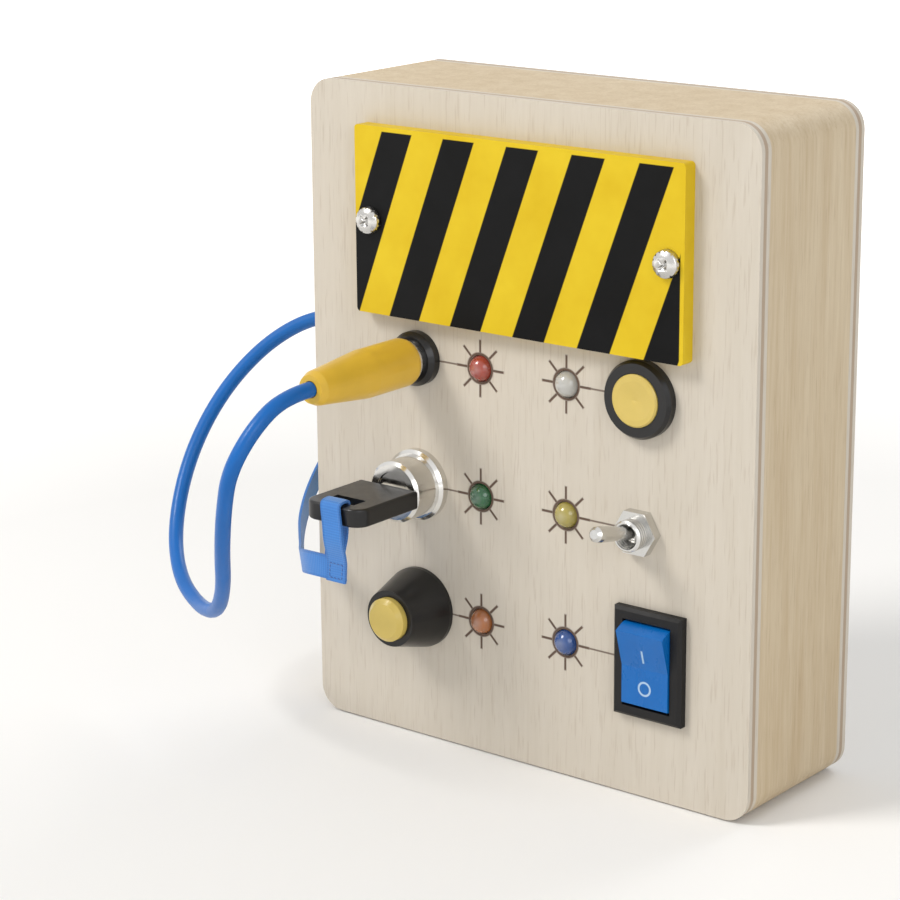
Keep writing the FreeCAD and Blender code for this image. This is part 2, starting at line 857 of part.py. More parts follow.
def make_plug():
    pin_end = plug_base + S.plug_pin_length
    nose = pin_end - S.plug_nose
    shoulder = plug_base + S.plug_shoulder
    pin = turned("plug_pin", left_x, row_top, [
        (0, pin_end),
        (S.plug_nose_radius * 0.5, pin_end),
        (S.plug_nose_radius, nose + S.plug_nose * 0.4),
        (S.plug_nose_radius, nose),
        (S.plug_core_radius, nose),
        (S.plug_core_radius, shoulder),
        (S.plug_pin_radius, shoulder),
        (S.plug_pin_radius, plug_base),
        (S.plug_collar_radius, plug_base),
        (S.plug_collar_radius, plug_base - S.plug_collar),
        (S.plug_pin_radius, plug_base - S.plug_collar),
        (S.plug_pin_radius, plug_base - S.plug_collar - S.plug_length * 0.3),
        (0, plug_base - S.plug_collar - S.plug_length * 0.3),
    ])
    keep("plug_pin", pin)
    keep("plug_cage", make_cage(shoulder, nose))
    start = plug_base - S.plug_collar
    grip = turned("plug_sleeve", left_x, row_top, [
        (S.plug_pin_radius, start),
        (S.plug_radius * 0.96, start),
        (S.plug_radius, start - S.plug_length * 0.03),
        (S.plug_radius, start - S.plug_length * 0.45),
        (S.plug_end_radius, plug_end + S.plug_length * 0.05),
        (S.plug_end_radius * 0.82, plug_end),
        (S.cord_radius + S.hole_gap, plug_end),
        (S.cord_radius + S.hole_gap, start - S.plug_length * 0.3),
        (S.plug_pin_radius, start - S.plug_length * 0.3),
    ])
    keep("plug_sleeve", grip)


# Lock and key

lock_front = front - S.lock_face
lock_end = lock_front + S.lock_face + S.lock_length
rotor_front = lock_front + S.rotor_recess
key_front = lock_front - S.key_stand_off
key_end = key_front - S.key_head_length
loop_y = key_end + S.key_bar / 2


def make_lock():
    bore = S.rotor_radius + S.slide_gap
    shell = turned("lock_body", left_x, row_middle, [
        (bore, lock_front),
        (S.thread_radius - S.lock_chamfer, lock_front),
        (S.thread_radius, lock_front + S.lock_chamfer),
        (S.thread_radius, front - S.lock_flange),
        (S.lock_flange_radius - S.lock_chamfer, front - S.lock_flange),
        (S.lock_flange_radius, front - S.lock_flange + S.lock_chamfer),
        (S.lock_flange_radius, front),
        (S.thread_radius, front),
        (S.thread_radius, lock_end),
        (bore, lock_end),
    ])
    keep("lock_body", shell)
    cap = rod("lock_base", left_x, lock_end, row_middle, S.thread_radius, S.lock_base_thick)
    keep("lock_base", cap)
    rotor = turned("lock_rotor", left_x, row_middle, [
        (0, rotor_front),
        (S.rotor_radius, rotor_front),
        (S.rotor_radius, lock_end - S.face_gap),
        (0, lock_end - S.face_gap),
    ])
    keyway = facing(rotor, rotor_front)
    half = S.blade_width / 2 + S.blade_gap
    thick = S.blade_thick / 2 + S.blade_gap
    rectangle(keyway, -half, half, -thick, thick)
    pocket(rotor, keyway, S.keyway_depth)
    keep("lock_rotor", rotor)


def make_key():
    """A flat blade with cut notches, in a moulded head with a slot for the ribbon."""
    blade = body("key_blade", left_x, 0, row_middle)
    tip = rotor_front + S.blade_length
    half = S.blade_width / 2
    step = S.blade_length / 7
    outline = sketch(blade, "XY_Plane", -S.blade_thick / 2)
    points = [(-half, key_front - S.blade_tang), (-half, tip - S.blade_notch)]
    points += [(-half + S.blade_notch, tip), (half - S.blade_notch, tip)]
    points += [(half, tip - S.blade_notch)]
    for index in (2, 4):
        points += [
            (half, tip - step * (index - 0.5)),
            (half - S.blade_notch, tip - step * index),
            (half, tip - step * (index + 0.5)),
        ]
    points += [(half, key_front - S.blade_tang)]
    polygon(outline, points)
    pad(blade, outline, S.blade_thick)
    keep("key_blade", blade)
    head = body("key_head", left_x, 0, row_middle)
    outline = sketch(head, "XY_Plane", -S.key_head_thick / 2)
    half = S.key_head_width / 2
    rectangle(outline, -half, half, key_end, key_front)
    pad(head, outline, S.key_head_thick)
    outer = number_of(key_end)
    dress(head, "Fillet", S.key_head_round,
          lambda edge: runs_along(edge, 2) and abs(edge.CenterOfMass.y - outer) < 0.01)
    rim = SIZES["key_head_thick"] / 2
    dress(head, "Fillet", S.key_edge_round, lambda edge: abs(abs(edge.CenterOfMass.z) - rim) < 0.01)
    slot = sketch(head, "XY_Plane", S.key_head_thick / 2)
    half = S.key_slot_width / 2
    rectangle(slot, -half, half, key_end + S.key_bar, key_end + S.key_bar + S.key_slot_length)
    pocket(head, slot, S.key_head_thick)
    seat = facing(head, key_front)
    half = S.blade_width / 2
    rectangle(seat, -half, half, -S.blade_thick / 2, S.blade_thick / 2)
    pocket(head, seat, S.blade_tang, backwards=True)
    keep("key_head", head)


def make_key_loop():
    """The ribbon's closed loop round the key's outer bar, with its ends sewn together below."""
    band = body("key_loop", left_x)
    thick = S.ribbon_thick
    near = key_end - S.face_gap
    far = key_end + S.key_bar + S.face_gap
    over = row_middle + S.key_head_thick / 2 + S.face_gap
    under = row_middle - S.key_head_thick / 2 - S.face_gap
    seam = ribbon_foot + S.ribbon_width
    drawing = sketch(band, "YZ_Plane", -S.ribbon_width / 2)
    polygon(drawing, [
        (near - thick, over + thick),
        (far + thick, over + thick),
        (far + thick, under),
        (loop_y + thick, seam),
        (loop_y + thick, ribbon_foot),
        (loop_y - thick, ribbon_foot),
        (loop_y - thick, seam),
        (near - thick, under),
    ])
    polygon(drawing, [(near, over), (far, over), (far, under), (loop_y, seam + thick), (near, under)])
    pad(band, drawing, S.ribbon_width)
    top = number_of(over + thick)
    dress(band, "Fillet", thick,
          lambda edge: runs_along(edge, 0) and abs(edge.CenterOfMass.z - top) < 0.01)
    keep("key_loop", band)


# Push buttons

push_top = front - S.push_rise
push_lip_y = push_top + S.push_lip
push_end = inner + S.push_length
latch_top = front - S.latch_flange
latch_end = inner + S.latch_length


def make_push_button():
    """A sprung button in a tall conical bezel."""
    wide = S.push_collar_radius + S.slide_gap
    shell = turned("push_bezel", left_x, S.row_low, [
        (S.push_bore, push_top),
        (S.push_top_radius, push_top),
        (S.push_base_radius, front - S.push_rise * 0.1),
        (S.push_base_radius, front),
        (S.thread_radius, front),
        (S.thread_radius, push_end),
        (0, push_end),
        (0, push_end - S.push_floor),
        (wide, push_end - S.push_floor),
        (wide, push_lip_y),
        (S.push_bore, push_lip_y),
    ])
    keep("push_bezel", shell)
    radius = S.push_bore - S.slide_gap
    face = push_top - S.push_cap_rise
    collar = push_lip_y + S.hole_gap
    cap = turned("push_cap", left_x, S.row_low, [
        (0, face),
        (radius * 0.8, face),
        (radius, face + radius * 0.2),
        (radius, collar),
        (S.push_collar_radius, collar),
        (S.push_collar_radius, collar + S.push_collar),
        (0, collar + S.push_collar),
    ])
    keep("push_cap", cap)
    start = collar + S.push_collar
    spring = turned("push_spring", left_x, S.row_low, [
        (S.push_collar_radius * 0.6, start),
        (S.push_collar_radius * 0.8, start),
        (S.push_collar_radius * 0.8, push_end - S.push_floor),
        (S.push_collar_radius * 0.6, push_end - S.push_floor),
    ])
    keep("push_spring", spring)


def make_latch_button():
    """A low button that stays down when it is pressed and comes up with the next press."""
    shell = turned("latch_bezel", S.latch_offset, row_top, [
        (S.latch_bore, latch_top),
        (S.latch_flange_radius * 0.93, latch_top),
        (S.latch_flange_radius, latch_top + S.latch_flange * 0.35),
        (S.latch_flange_radius, front),
        (S.thread_radius, front),
        (S.thread_radius, latch_end),
        (0, latch_end),
        (0, latch_end - S.latch_floor),
        (S.latch_bore, latch_end - S.latch_floor),
    ])
    keep("latch_bezel", shell)
    radius = S.latch_bore - S.slide_gap
    face = latch_top - S.latch_rise
    cap = turned("latch_cap", S.latch_offset, row_top, [
        (0, face + S.latch_rise),
        (radius * 0.75, face),
        (radius * 0.94, face),
        (radius, face + radius * 0.06),
        (radius, face + S.latch_stem * 0.4),
        (radius * 0.5, face + S.latch_stem * 0.4),
        (radius * 0.5, face + S.latch_stem),
        (0, face + S.latch_stem),
    ])
    keep("latch_cap", cap)
    spring = turned("latch_spring", S.latch_offset, row_top, [
        (radius * 0.6, face + S.latch_stem * 0.4),
        (radius * 0.85, face + S.latch_stem * 0.4),
        (radius * 0.85, latch_end - S.latch_floor),
        (radius * 0.6, latch_end - S.latch_floor),
    ])
    keep("latch_spring", spring)


def make_panel_nuts():
    spots = [
        ("lock_nut", left_x, row_middle),
        ("push_nut", left_x, S.row_low),
        ("latch_nut", S.latch_offset, row_top),
    ]
    nuts = [
        hex_nut(name, x, inner, z, S.nut_flats, S.nut_thick, S.thread_radius)
        for name, x, z in spots
    ]
    keep("panel_nuts", group("panel_nuts", nuts))


# Toggle switch

toggle_body_front = inner + S.toggle_stand_off
toggle_mouth = front - S.toggle_thread_rise
toggle_pivot = toggle_mouth + S.toggle_ball_depth


def make_toggle():
    x = S.toggle_offset
    half = S.toggle_width / 2
    tall = S.toggle_height / 2
    made = body("toggle_body", x, 0, row_middle)
    drawing = facing(made, toggle_body_front)
    rectangle(drawing, -half, half, -tall, tall)
    pad(made, drawing, S.toggle_length, backwards=True)
    well = facing(made, toggle_body_front)
    circle(well, 0, 0, S.toggle_ball + S.face_gap)
    pocket(made, well, S.toggle_length * 0.4)
    keep("toggle_body", made)
    bore = S.toggle_ball + S.slide_gap
    mouth = bore + S.face_gap
    bush = turned("toggle_bushing", x, row_middle, [
        (mouth, toggle_mouth),
        (S.toggle_thread_radius - S.face_gap, toggle_mouth),
        (S.toggle_thread_radius, toggle_mouth + S.face_gap),
        (S.toggle_thread_radius, toggle_body_front),
        (bore, toggle_body_front),
        (bore, toggle_mouth + S.toggle_ball * 0.5),
    ])
    keep("toggle_bushing", bush)
    nuts = [
        hex_nut("toggle_nut_front", x, front - S.toggle_nut, row_middle,
                S.small_nut_flats, S.toggle_nut, S.toggle_thread_radius),
        hex_nut("toggle_nut_back", x, inner, row_middle,
                S.small_nut_flats, S.toggle_stand_off, S.toggle_thread_radius),
    ]
    keep("toggle_nuts", group("toggle_nuts", nuts))
    reach = -(S.toggle_ball_depth + S.toggle_lever_length)
    tip = S.toggle_tip_radius
    stick = body("toggle_stick", x, toggle_pivot, row_middle,
                 Rotation(Vector(1, 0, 0), -SIZES["toggle_angle"]))
    stick.setExpression("Placement.Rotation.Angle", S.toggle_angle.text)
    stick.setExpression("Placement.Rotation.Axis.x", "-1")
    revolve(stick, [
        (0, reach),
        (tip * 0.55, reach),
        (tip * 0.92, reach + tip * 0.4),
        (tip, reach + tip),
        (S.toggle_root_radius, 0),
        (S.toggle_root_radius * 0.8, S.toggle_ball_depth * 1.5),
        (0, S.toggle_ball_depth * 1.5),
    ])
    ball = doc.addObject("Part::Sphere", "toggle_ball")
    ball.Radius = SIZES["toggle_ball"]
    bind(ball, "Radius", S.toggle_ball)
    place(ball, x, toggle_pivot, row_middle)
    lever = doc.addObject("Part::MultiFuse", "toggle_lever")
    lever.Shapes = [stick, ball]
    keep("toggle_lever", lever)


# Rocker switch

rocker_front = front - S.rocker_bezel
paddle_face = rocker_front - S.paddle_proud
paddle_axis_y = paddle_face + S.paddle_pivot
rocker_end = front + S.rocker_body_length


def make_rocker():
    x = S.rocker_offset
    made = body("rocker_frame", x, 0, S.row_low)
    rim = facing(made, rocker_front)
    half = S.rocker_width / 2
    tall = S.rocker_height / 2
    rectangle(rim, -half, half, -tall, tall)
    pad(made, rim, S.rocker_bezel, backwards=True)
    brow = number_of(rocker_front)
    dress(made, "Chamfer", S.face_gap * 2, lambda edge: abs(edge.CenterOfMass.y - brow) < 0.01)
    case = facing(made, front)
    half = S.rocker_body_width / 2
    tall = S.rocker_body_height / 2
    rectangle(case, -half, half, -tall, tall)
    pad(made, case, S.rocker_body_length, backwards=True)
    well = facing(made, rocker_front)
    half = S.rocker_well_width / 2
    tall = S.rocker_well_height / 2
    rectangle(well, -half, half, -tall, tall)
    pocket(made, well, S.rocker_well_depth)
    eyes = sketch(made, "YZ_Plane", S.rocker_well_width / 2 + S.paddle_pin)
    circle(eyes, paddle_axis_y, 0, S.paddle_pin_radius + S.slide_gap / 2)
    pocket(made, eyes, S.rocker_well_width + S.paddle_pin * 2)
    keep("rocker_frame", made)
    swing = math.tan(math.radians(SIZES["paddle_angle"]))
    half = S.paddle_width / 2
    prism = body("paddle_prism")
    outline = sketch(prism, "YZ_Plane", -half)
    reach = S.paddle_radius
    polygon(outline, [
        (-S.paddle_pivot, 0),
        (-S.paddle_pivot - reach * swing, reach),
        (0, reach),
        (S.paddle_underside, S.paddle_foot),
        (S.paddle_underside, -S.paddle_foot),
        (0, -reach),
        (-S.paddle_pivot - reach * swing, -reach),
    ])
    pad(prism, outline, S.paddle_width)
    round_end = rod("paddle_round", -half, 0, 0, S.paddle_radius, S.paddle_width, TO_RIGHT)
    rounded = doc.addObject("Part::Common", "paddle_rounded")
    rounded.Base = prism
    rounded.Tool = round_end
    pins = rod("paddle_pins", -half - S.paddle_pin, 0, 0, S.paddle_pin_radius,
               S.paddle_width + S.paddle_pin * 2, TO_RIGHT)
    paddle = doc.addObject("Part::MultiFuse", "rocker_paddle")
    paddle.Shapes = [rounded, pins]
    place(paddle, x, paddle_axis_y, S.row_low, Rotation(Vector(1, 0, 0), SIZES["paddle_angle"]))
    paddle.setExpression("Placement.Rotation.Angle", S.paddle_angle.text)
    keep("rocker_paddle", paddle)


# Solder lugs, leads, cord and ribbon


def bent_path(points):
    """Straight runs joined by the largest tangent arcs that both runs allow, and their radii."""
    edges = []
    radii = []
    start = points[0]
    for before, corner, after in zip(points, points[1:], points[2:]):
        into = (corner - before).normalize()
        out = (after - corner).normalize()
        shorter = min((corner - before).Length, (after - corner).Length)
        turn = into.getAngle(out)
        trim = 0.45 * shorter
        radii.append(trim / math.tan(turn / 2))
        first = corner - into * trim
        last = corner + out * trim
        toward = (out - into).normalize()
        middle = corner + toward * (radii[-1] / math.cos(turn / 2) - radii[-1])
        edges.append(Part.LineSegment(start, first).toShape())
        edges.append(Part.Arc(first, middle, last).toShape())
        start = last
    edges.append(Part.LineSegment(start, points[-1]).toShape())
    return Part.Wire(edges), radii


def ring_around(path, radius, sides):
    """A regular polygon round a path's start."""
    start = path.Edges[0].Vertexes[0].Point
    along = path.Edges[0].tangentAt(path.Edges[0].FirstParameter)
    whole = Part.Circle(start, along, radius).toShape()
    span = whole.LastParameter - whole.FirstParameter
    return [whole.valueAt(whole.FirstParameter + span * i / sides) for i in range(sides)]


def strip_across(start, width, thick):
    """A flat ribbon's upright section at a path's start that runs along X."""
    corners = [(-1, -1), (1, -1), (1, 1), (-1, 1)]
    return [start + Vector(0, thick / 2 * y, width / 2 * z) for y, z in corners]


def swept(label, path, corners):
    """A flat-sided tube along a path, with its volume compared with its section and length."""
    ring = Part.makePolygon(corners + corners[:1])
    shape = path.makePipeShell([ring], True, False)
    if abs(shape.Volume / (Part.Face(ring).Area * path.Length) - 1) > 0.02:
        raise RuntimeError(f"{label} has not the volume of its length")
    made = doc.addObject("Part::Feature", label)
    made.Shape = shape
    return made


def tell(label, path, radii):
    print(label, "length", round(path.Length, 1), "radii", [round(r, 1) for r in radii])


def lead_through(label, points, radius):
    """An inner lead through hand-set points."""
    path, _ = bent_path([Vector(*point) for point in points])
    return swept(label, path, ring_around(path, radius, LEAD_SIDES))


def make_cords():
    """The plug's cord and the key's ribbon, each from its hole in the left side."""
    wall = -SIZES["case_width"] / 2
    cord_y = SIZES["cord_depth"]
    cord_z = number_of(cord_height)
    plug_x = number_of(left_x)
    plug_y = number_of(plug_end)
    plug_z = number_of(row_top)
    cord_route = [
        (wall, cord_y, cord_z),
        (wall - 9, cord_y, cord_z),
        (-69.5, 1.0, 74.5),
        (-78.5, -3.0, 68.0),
        (-85.0, -9.0, 58.0),
        (-87.5, -16.0, 46.0),
        (-84.5, -24.0, 34.0),
        (-76.0, -32.0, 26.5),
        (-64.0, -38.5, 24.0),
        (-53.0, -45.0, 27.0),
        (-44.5, -52.0, 35.5),
        (-38.0, -59.0, 46.0),
        (-32.5, -64.0, 56.0),
        (-28.5, -66.5, 64.5),
        (plug_x - 1, plug_y - 14.5, plug_z - 4.5),
        (plug_x, plug_y - 7.5, plug_z),
        (plug_x, plug_y, plug_z),
    ]
    path, radii = bent_path([Vector(*point) for point in cord_route])
    tell("plug_cord", path, radii)
    keep("plug_cord", swept("plug_cord", path, ring_around(path, SIZES["cord_radius"], CORD_SIDES)))
    ribbon_y = SIZES["ribbon_depth"]
    ribbon_z = number_of(ribbon_height)
    loop_side = number_of(left_x - S.ribbon_width / 2)
    seam_y = number_of(loop_y)
    seam_z = number_of(ribbon_foot + S.ribbon_width / 2)
    ribbon_route = [
        (loop_side, seam_y, seam_z),
        (loop_side - 4.7, seam_y, seam_z),
        (-37.2, -38.0, 38.9),
        (-42.6, -31.7, 37.0),
        (-48.6, -25.2, 36.6),
        (-54.5, -18.6, 37.8),
        (-59.0, -11.2, 41.2),
        (-61.0, -3.6, 46.8),
        (wall - 8.4, ribbon_y - 1.8, ribbon_z - 3.4),
        (wall - 4.3, ribbon_y, ribbon_z),
        (wall, ribbon_y, ribbon_z),
    ]
    path, radii = bent_path([Vector(*point) for point in ribbon_route])
    tell("key_ribbon", path, radii)
    section = strip_across(Vector(*ribbon_route[0]), SIZES["ribbon_width"], SIZES["ribbon_thick"])
    keep("key_ribbon", swept("key_ribbon", path, section))


def make_tethers():
    """What holds the cord and the ribbon inside the left side."""
    wall = -S.case_width / 2
    inside = wall + S.rail_thick
    tail = rod("cord_tail", wall, S.cord_depth, cord_height,
               S.cord_radius, S.rail_thick + S.cord_tail, TO_RIGHT)
    keep("cord_tail", tail)
    band = doc.addObject("Part::Cut", "cord_tie")
    band.Base = rod("tie_blank", inside + S.face_gap, S.cord_depth, cord_height,
                    S.tie_radius, S.tie_width, TO_RIGHT)
    band.Tool = rod("tie_bore", inside + S.face_gap, S.cord_depth, cord_height,
                    S.cord_radius, S.tie_width, TO_RIGHT)
    keep("cord_tie", band)
    half = S.ribbon_thick / 2
    stem = body("ribbon_stem", wall, S.ribbon_depth, ribbon_height,
                Rotation(Vector(1, 0, 0), -SIZES["ribbon_lean"]))
    stem.setExpression("Placement.Rotation.Angle", S.ribbon_lean.text)
    stem.setExpression("Placement.Rotation.Axis.x", "-1")
    section = sketch(stem, "YZ_Plane")
    rectangle(section, -S.ribbon_width / 2, S.ribbon_width / 2, -half, half)
    pad(stem, section, S.rail_thick + S.face_gap + S.knot_radius)
    knot = doc.addObject("Part::Sphere", "ribbon_ball")
    knot.Radius = SIZES["knot_radius"]
    bind(knot, "Radius", S.knot_radius)
    place(knot, inside + S.knot_radius + S.face_gap, S.ribbon_depth, ribbon_height)
    made = doc.addObject("Part::MultiFuse", "ribbon_knot")
    made.Shapes = [stem, knot]
    keep("ribbon_knot", made)


def lug(label, x, y, z):
    """A flat solder tab that starts at a switch's back face."""
    half = S.lug_width / 2
    thick = S.lug_thick / 2
    return block(label, x - half, x + half, y, y + S.lug_length, z - thick, z + thick)


def make_wiring():
    """Two tabs on each switch and a lead from each tab to the board."""
    lock_back = lock_end + S.lock_base_thick
    switches = [
        ("lock", left_x, lock_back, row_middle, -1),
        ("push", left_x, push_end, S.row_low, -1),
        ("latch", S.latch_offset, latch_end, row_top, 1),
        ("toggle", S.toggle_offset, toggle_body_front + S.toggle_length, row_middle, 1),
        ("rocker", S.rocker_offset, rocker_end, S.row_low, 1),
    ]
    tabs = [lug("socket_tab", left_x, socket_end, row_top + S.lug_half_pitch)]
    leads = []
    board_x = number_of(S.board_width / 2 - S.lead_inset)
    board_y = number_of(board_back)

    def lead(start, side):
        """A lead from a tab's or cord's end: back, across to the board and down onto it."""
        x, y, z = [number_of(value) for value in start]
        run_y = y + SIZES["lead_clear"]
        route = [(x, y, z), (x, run_y, z), (board_x * side, run_y, z), (board_x * side, board_y, z)]
        leads.append(lead_through("lead", route, SIZES["lead_radius"]))

    for name, x, y, z, side in switches:
        for way in (-1, 1):
            height = z + S.lug_half_pitch * way
            tabs.append(lug(f"{name}_tab", x, y, height))
            lead((x, y + S.lug_length, height), side)
    lead((left_x, socket_end + S.lug_length, row_top + S.lug_half_pitch), -1)
    tail = [S.rail_thick + S.cord_tail - S.case_width / 2, S.cord_depth, cord_height]
    start = [number_of(value) for value in tail]
    low = start[2] - SIZES["lug_half_pitch"] * 2
    route = [start, (start[0] + 4, start[1], start[2]), (start[0] + 8, start[1], low),
             (-board_x, start[1], low), (-board_x, board_y, low)]
    leads.append(lead_through("lead", route, SIZES["lead_radius"]))
    tray_low = number_of(cover_centre - tray_half_height - S.tray_wall)
    supply_y = number_of(tray_floor - S.lead_radius)
    for side in (-1, 1):
        x = SIZES["lamp_offset"] * side
        route = [(x, supply_y, tray_low), (x, supply_y, number_of(row_top)),
                 (x, board_y, number_of(row_top))]
        leads.append(lead_through("lead", route, SIZES["lead_radius"]))
    keep("solder_tabs", group("solder_tabs", tabs))
    keep("inner_leads", group("inner_leads", leads))


def check_and_write():
    """Stops on any failed object, then writes each node's solids to its own file."""
    doc.recompute()
    failed = [item.Name for item in doc.Objects if {"Invalid", "Error"} & set(item.State)]
    if failed:
        raise RuntimeError(f"failed objects: {failed}")
    for name, item in NODES.items():
        if item.Shape.isNull() or not item.Shape.isValid() or not item.Shape.Solids:
            raise RuntimeError(f"{name} has no valid solid")
    for name, item in NODES.items():
        item.Shape.exportStep(f"parts/{name}.step")
    print(len(NODES), "nodes")


make_front_panel()
make_rails()
make_back()
make_cover()
make_tray()
make_cells()
make_lamps()
make_board()
make_socket()
make_plug()
make_lock()
make_key()
make_key_loop()
make_push_button()
make_latch_button()
make_panel_nuts()
make_toggle()
make_rocker()
make_tethers()
make_cords()
make_wiring()
check_and_write()
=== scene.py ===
import math

import bmesh
import bpy
from mathutils import Matrix, Vector


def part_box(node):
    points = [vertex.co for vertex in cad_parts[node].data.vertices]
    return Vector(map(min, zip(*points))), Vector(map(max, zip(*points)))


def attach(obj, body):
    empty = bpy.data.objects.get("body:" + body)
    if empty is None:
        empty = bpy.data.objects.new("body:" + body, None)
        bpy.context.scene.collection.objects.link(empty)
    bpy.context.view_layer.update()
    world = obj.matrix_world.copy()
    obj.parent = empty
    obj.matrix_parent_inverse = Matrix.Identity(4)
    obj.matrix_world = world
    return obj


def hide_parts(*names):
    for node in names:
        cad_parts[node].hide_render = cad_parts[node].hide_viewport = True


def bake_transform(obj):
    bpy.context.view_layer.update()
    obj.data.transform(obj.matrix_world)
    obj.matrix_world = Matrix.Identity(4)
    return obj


# Wooden busy board. Lengths are metres in the model's own frame: X runs to the right, the front
# looks along -Y, Z is up and the case stands on z = 0.

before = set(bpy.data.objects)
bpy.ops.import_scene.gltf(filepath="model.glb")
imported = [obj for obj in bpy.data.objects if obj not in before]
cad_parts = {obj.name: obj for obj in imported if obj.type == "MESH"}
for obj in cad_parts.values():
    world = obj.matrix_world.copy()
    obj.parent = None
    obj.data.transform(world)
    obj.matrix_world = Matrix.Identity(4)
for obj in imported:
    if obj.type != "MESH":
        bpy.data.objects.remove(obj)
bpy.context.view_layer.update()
bpy.ops.object.select_all(action="DESELECT")
MM = 0.001


# Places read from the frame


def low(node):
    """The lowest corner of a node's box."""
    return Vector(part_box(node)[0])


def high(node):
    """The highest corner of a node's box."""
    return Vector(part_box(node)[1])


def middle(node):
    """The centre of a node's box."""
    return (low(node) + high(node)) / 2


PANEL_FRONT = low("front_panel").y
LAMP_OFFSET = middle("led_white").x
ROW_MIDDLE = middle("led_green").z
ROW_LOW = middle("led_orange").z
ROW_PITCH = middle("led_red").z - ROW_MIDDLE
ROW_COUNT = 3
KEY_X = middle("lock_body").x

# Camera: its place, the point it looks at, its roll, its lens and its sensor's width in millimetres

CAMERA_PLACE = Vector((0.3039, -0.4182, 0.2027))
CAMERA_AIM = Vector((-0.0150, -0.0200, 0.0605))
CAMERA_ROLL = math.radians(-0.44)
CAMERA_LENS = 112
CAMERA_SENSOR = 36

# The cord's route from the case's side to the plug's end, in millimetres

CORD_RADIUS = 1.5 * MM
CORD_ROUTE = [
    (-51.0, 2.0, 76.5),
    (-60.0, 2.0, 76.5),
    (-69.5, 1.0, 74.5),
    (-78.5, -3.0, 68.0),
    (-85.0, -9.0, 58.0),
    (-87.5, -16.0, 46.0),
    (-84.5, -24.0, 34.0),
    (-76.0, -32.0, 26.5),
    (-64.0, -38.5, 24.0),
    (-53.0, -45.0, 27.0),
    (-44.5, -52.0, 35.5),
    (-38.0, -59.0, 46.0),
    (-32.5, -64.0, 56.0),
    (-28.5, -66.5, 64.5),
    (-26.0, -62.6, 72.0),
    (-25.0, -55.6, 76.5),
    (-25.0, -48.1, 76.5),
]

# The ribbon's route from the case's side to the foot of its loop on the key, in millimetres

RIBBON_WIDTH = 4.6 * MM
RIBBON_THICK = 0.5 * MM
RIBBON_STRIPS = 4
RIBBON_ROUTE = [
    (-51.0, 4.0, 56.0),
    (-55.3, 4.0, 56.0),
    (-59.4, 2.2, 52.6),
    (-61.0, -3.6, 46.8),
    (-59.0, -11.2, 41.2),
    (-54.5, -18.6, 37.8),
    (-48.6, -25.2, 36.6),
    (-42.6, -31.7, 37.0),
    (-37.2, -38.0, 38.9),
    (-32.0, -41.9, 40.6),
    (-27.3, -41.9, 40.6),
]

# How far forward the ribbon is clear of the case, and where its sewn end starts

RIBBON_SPLIT = -38 * MM


# Shader nodes and fields


def paint(red, green, blue):
    """A colour given on the 0 to 255 scale, as the linear colour that shaders use."""
    def linear(value):
        share = value / 255
        return share / 12.92 if share <= 0.04045 else ((share + 0.055) / 1.055) ** 2.4
    return (linear(red), linear(green), linear(blue), 1.0)


def feed(tree, socket, value):
    """Links a socket, or sets its plain value."""
    if isinstance(value, Field):
        value = value.socket
    if isinstance(value, bpy.types.NodeSocket):
        tree.links.new(value, socket)
    else:
        socket.default_value = value


def add(tree, kind, inputs=None, **settings):
    """Adds a node, with its settings and with its inputs by name or number."""
    node = tree.nodes.new(f"ShaderNode{kind}")
    for name, value in settings.items():
        setattr(node, name, value)
    for name, value in (inputs or {}).items():
        feed(tree, node.inputs[name], value)
    return node


class Field:
    """A number that changes over a surface, combined by ordinary arithmetic."""

    def __init__(self, tree, socket):
        self.tree = tree
        self.socket = socket

    def math(self, operation, *others):
        """A new field, worked out from this one and any others."""
        values = dict(enumerate((self, *others)))
        node = add(self.tree, "Math", values, operation=operation)
        return Field(self.tree, node.outputs[0])

    def __add__(self, other):
        return self.math("ADD", other)

    def __sub__(self, other):
        return self.math("SUBTRACT", other)

    def __mul__(self, other):
        return self.math("MULTIPLY", other)

    def __truediv__(self, other):
        return self.math("DIVIDE", other)

    def __abs__(self):
        return self.math("ABSOLUTE")

    def __mod__(self, other):
        return self.math("FLOORED_MODULO", other)

    def rise(self, start, end):
        """From 0 at start to 1 at end, and level outside them."""
        node = add(self.tree, "MapRange", {0: self, 1: start, 2: end}, clamp=True)
        return Field(self.tree, node.outputs[0])

    def fall(self, start, end):
        """From 1 at start to 0 at end, and level outside them."""
        return self.rise(end, start)

    def both(self, other):
        """The smaller of two fields."""
        return self.math("MINIMUM", other)

    def either(self, other):
        """The larger of two fields."""
        return self.math("MAXIMUM", other)


def place_of(tree, source="Object"):
    """The surface's own coordinates in millimetres, as three fields."""
    spot = add(tree, "TexCoord").outputs[source]
    parts = add(tree, "SeparateXYZ", {0: spot}).outputs
    return [Field(tree, part) * 1000 for part in parts]


def facing_of(tree):
    """The surface's normal in the model's frame, as three fields."""
    normal = add(tree, "TexCoord").outputs["Normal"]
    return [Field(tree, part) for part in add(tree, "SeparateXYZ", {0: normal}).outputs]


def front_of(tree, full=-0.9):
    """1 on faces that look straight to the front, and 0 on those that look well aside."""
    return facing_of(tree)[1].fall(full, -0.5)


def distance(across, along):
    """How far a place is from where both fields are 0."""
    return (across * across + along * along).math("SQRT")


def about_lamp(tree):
    """Millimetres from the nearest lamp's centre, outwards and upwards."""
    x, _, z = place_of(tree)
    pitch = ROW_PITCH / MM
    return abs(x) - LAMP_OFFSET / MM, (z - (ROW_LOW / MM - pitch / 2)) % pitch - pitch / 2


def stretched(tree, scale):
    """Object coordinates multiplied along each axis, for textures with a direction."""
    spot = add(tree, "TexCoord").outputs["Object"]
    return add(tree, "Mapping", {"Vector": spot, "Scale": scale}).outputs[0]


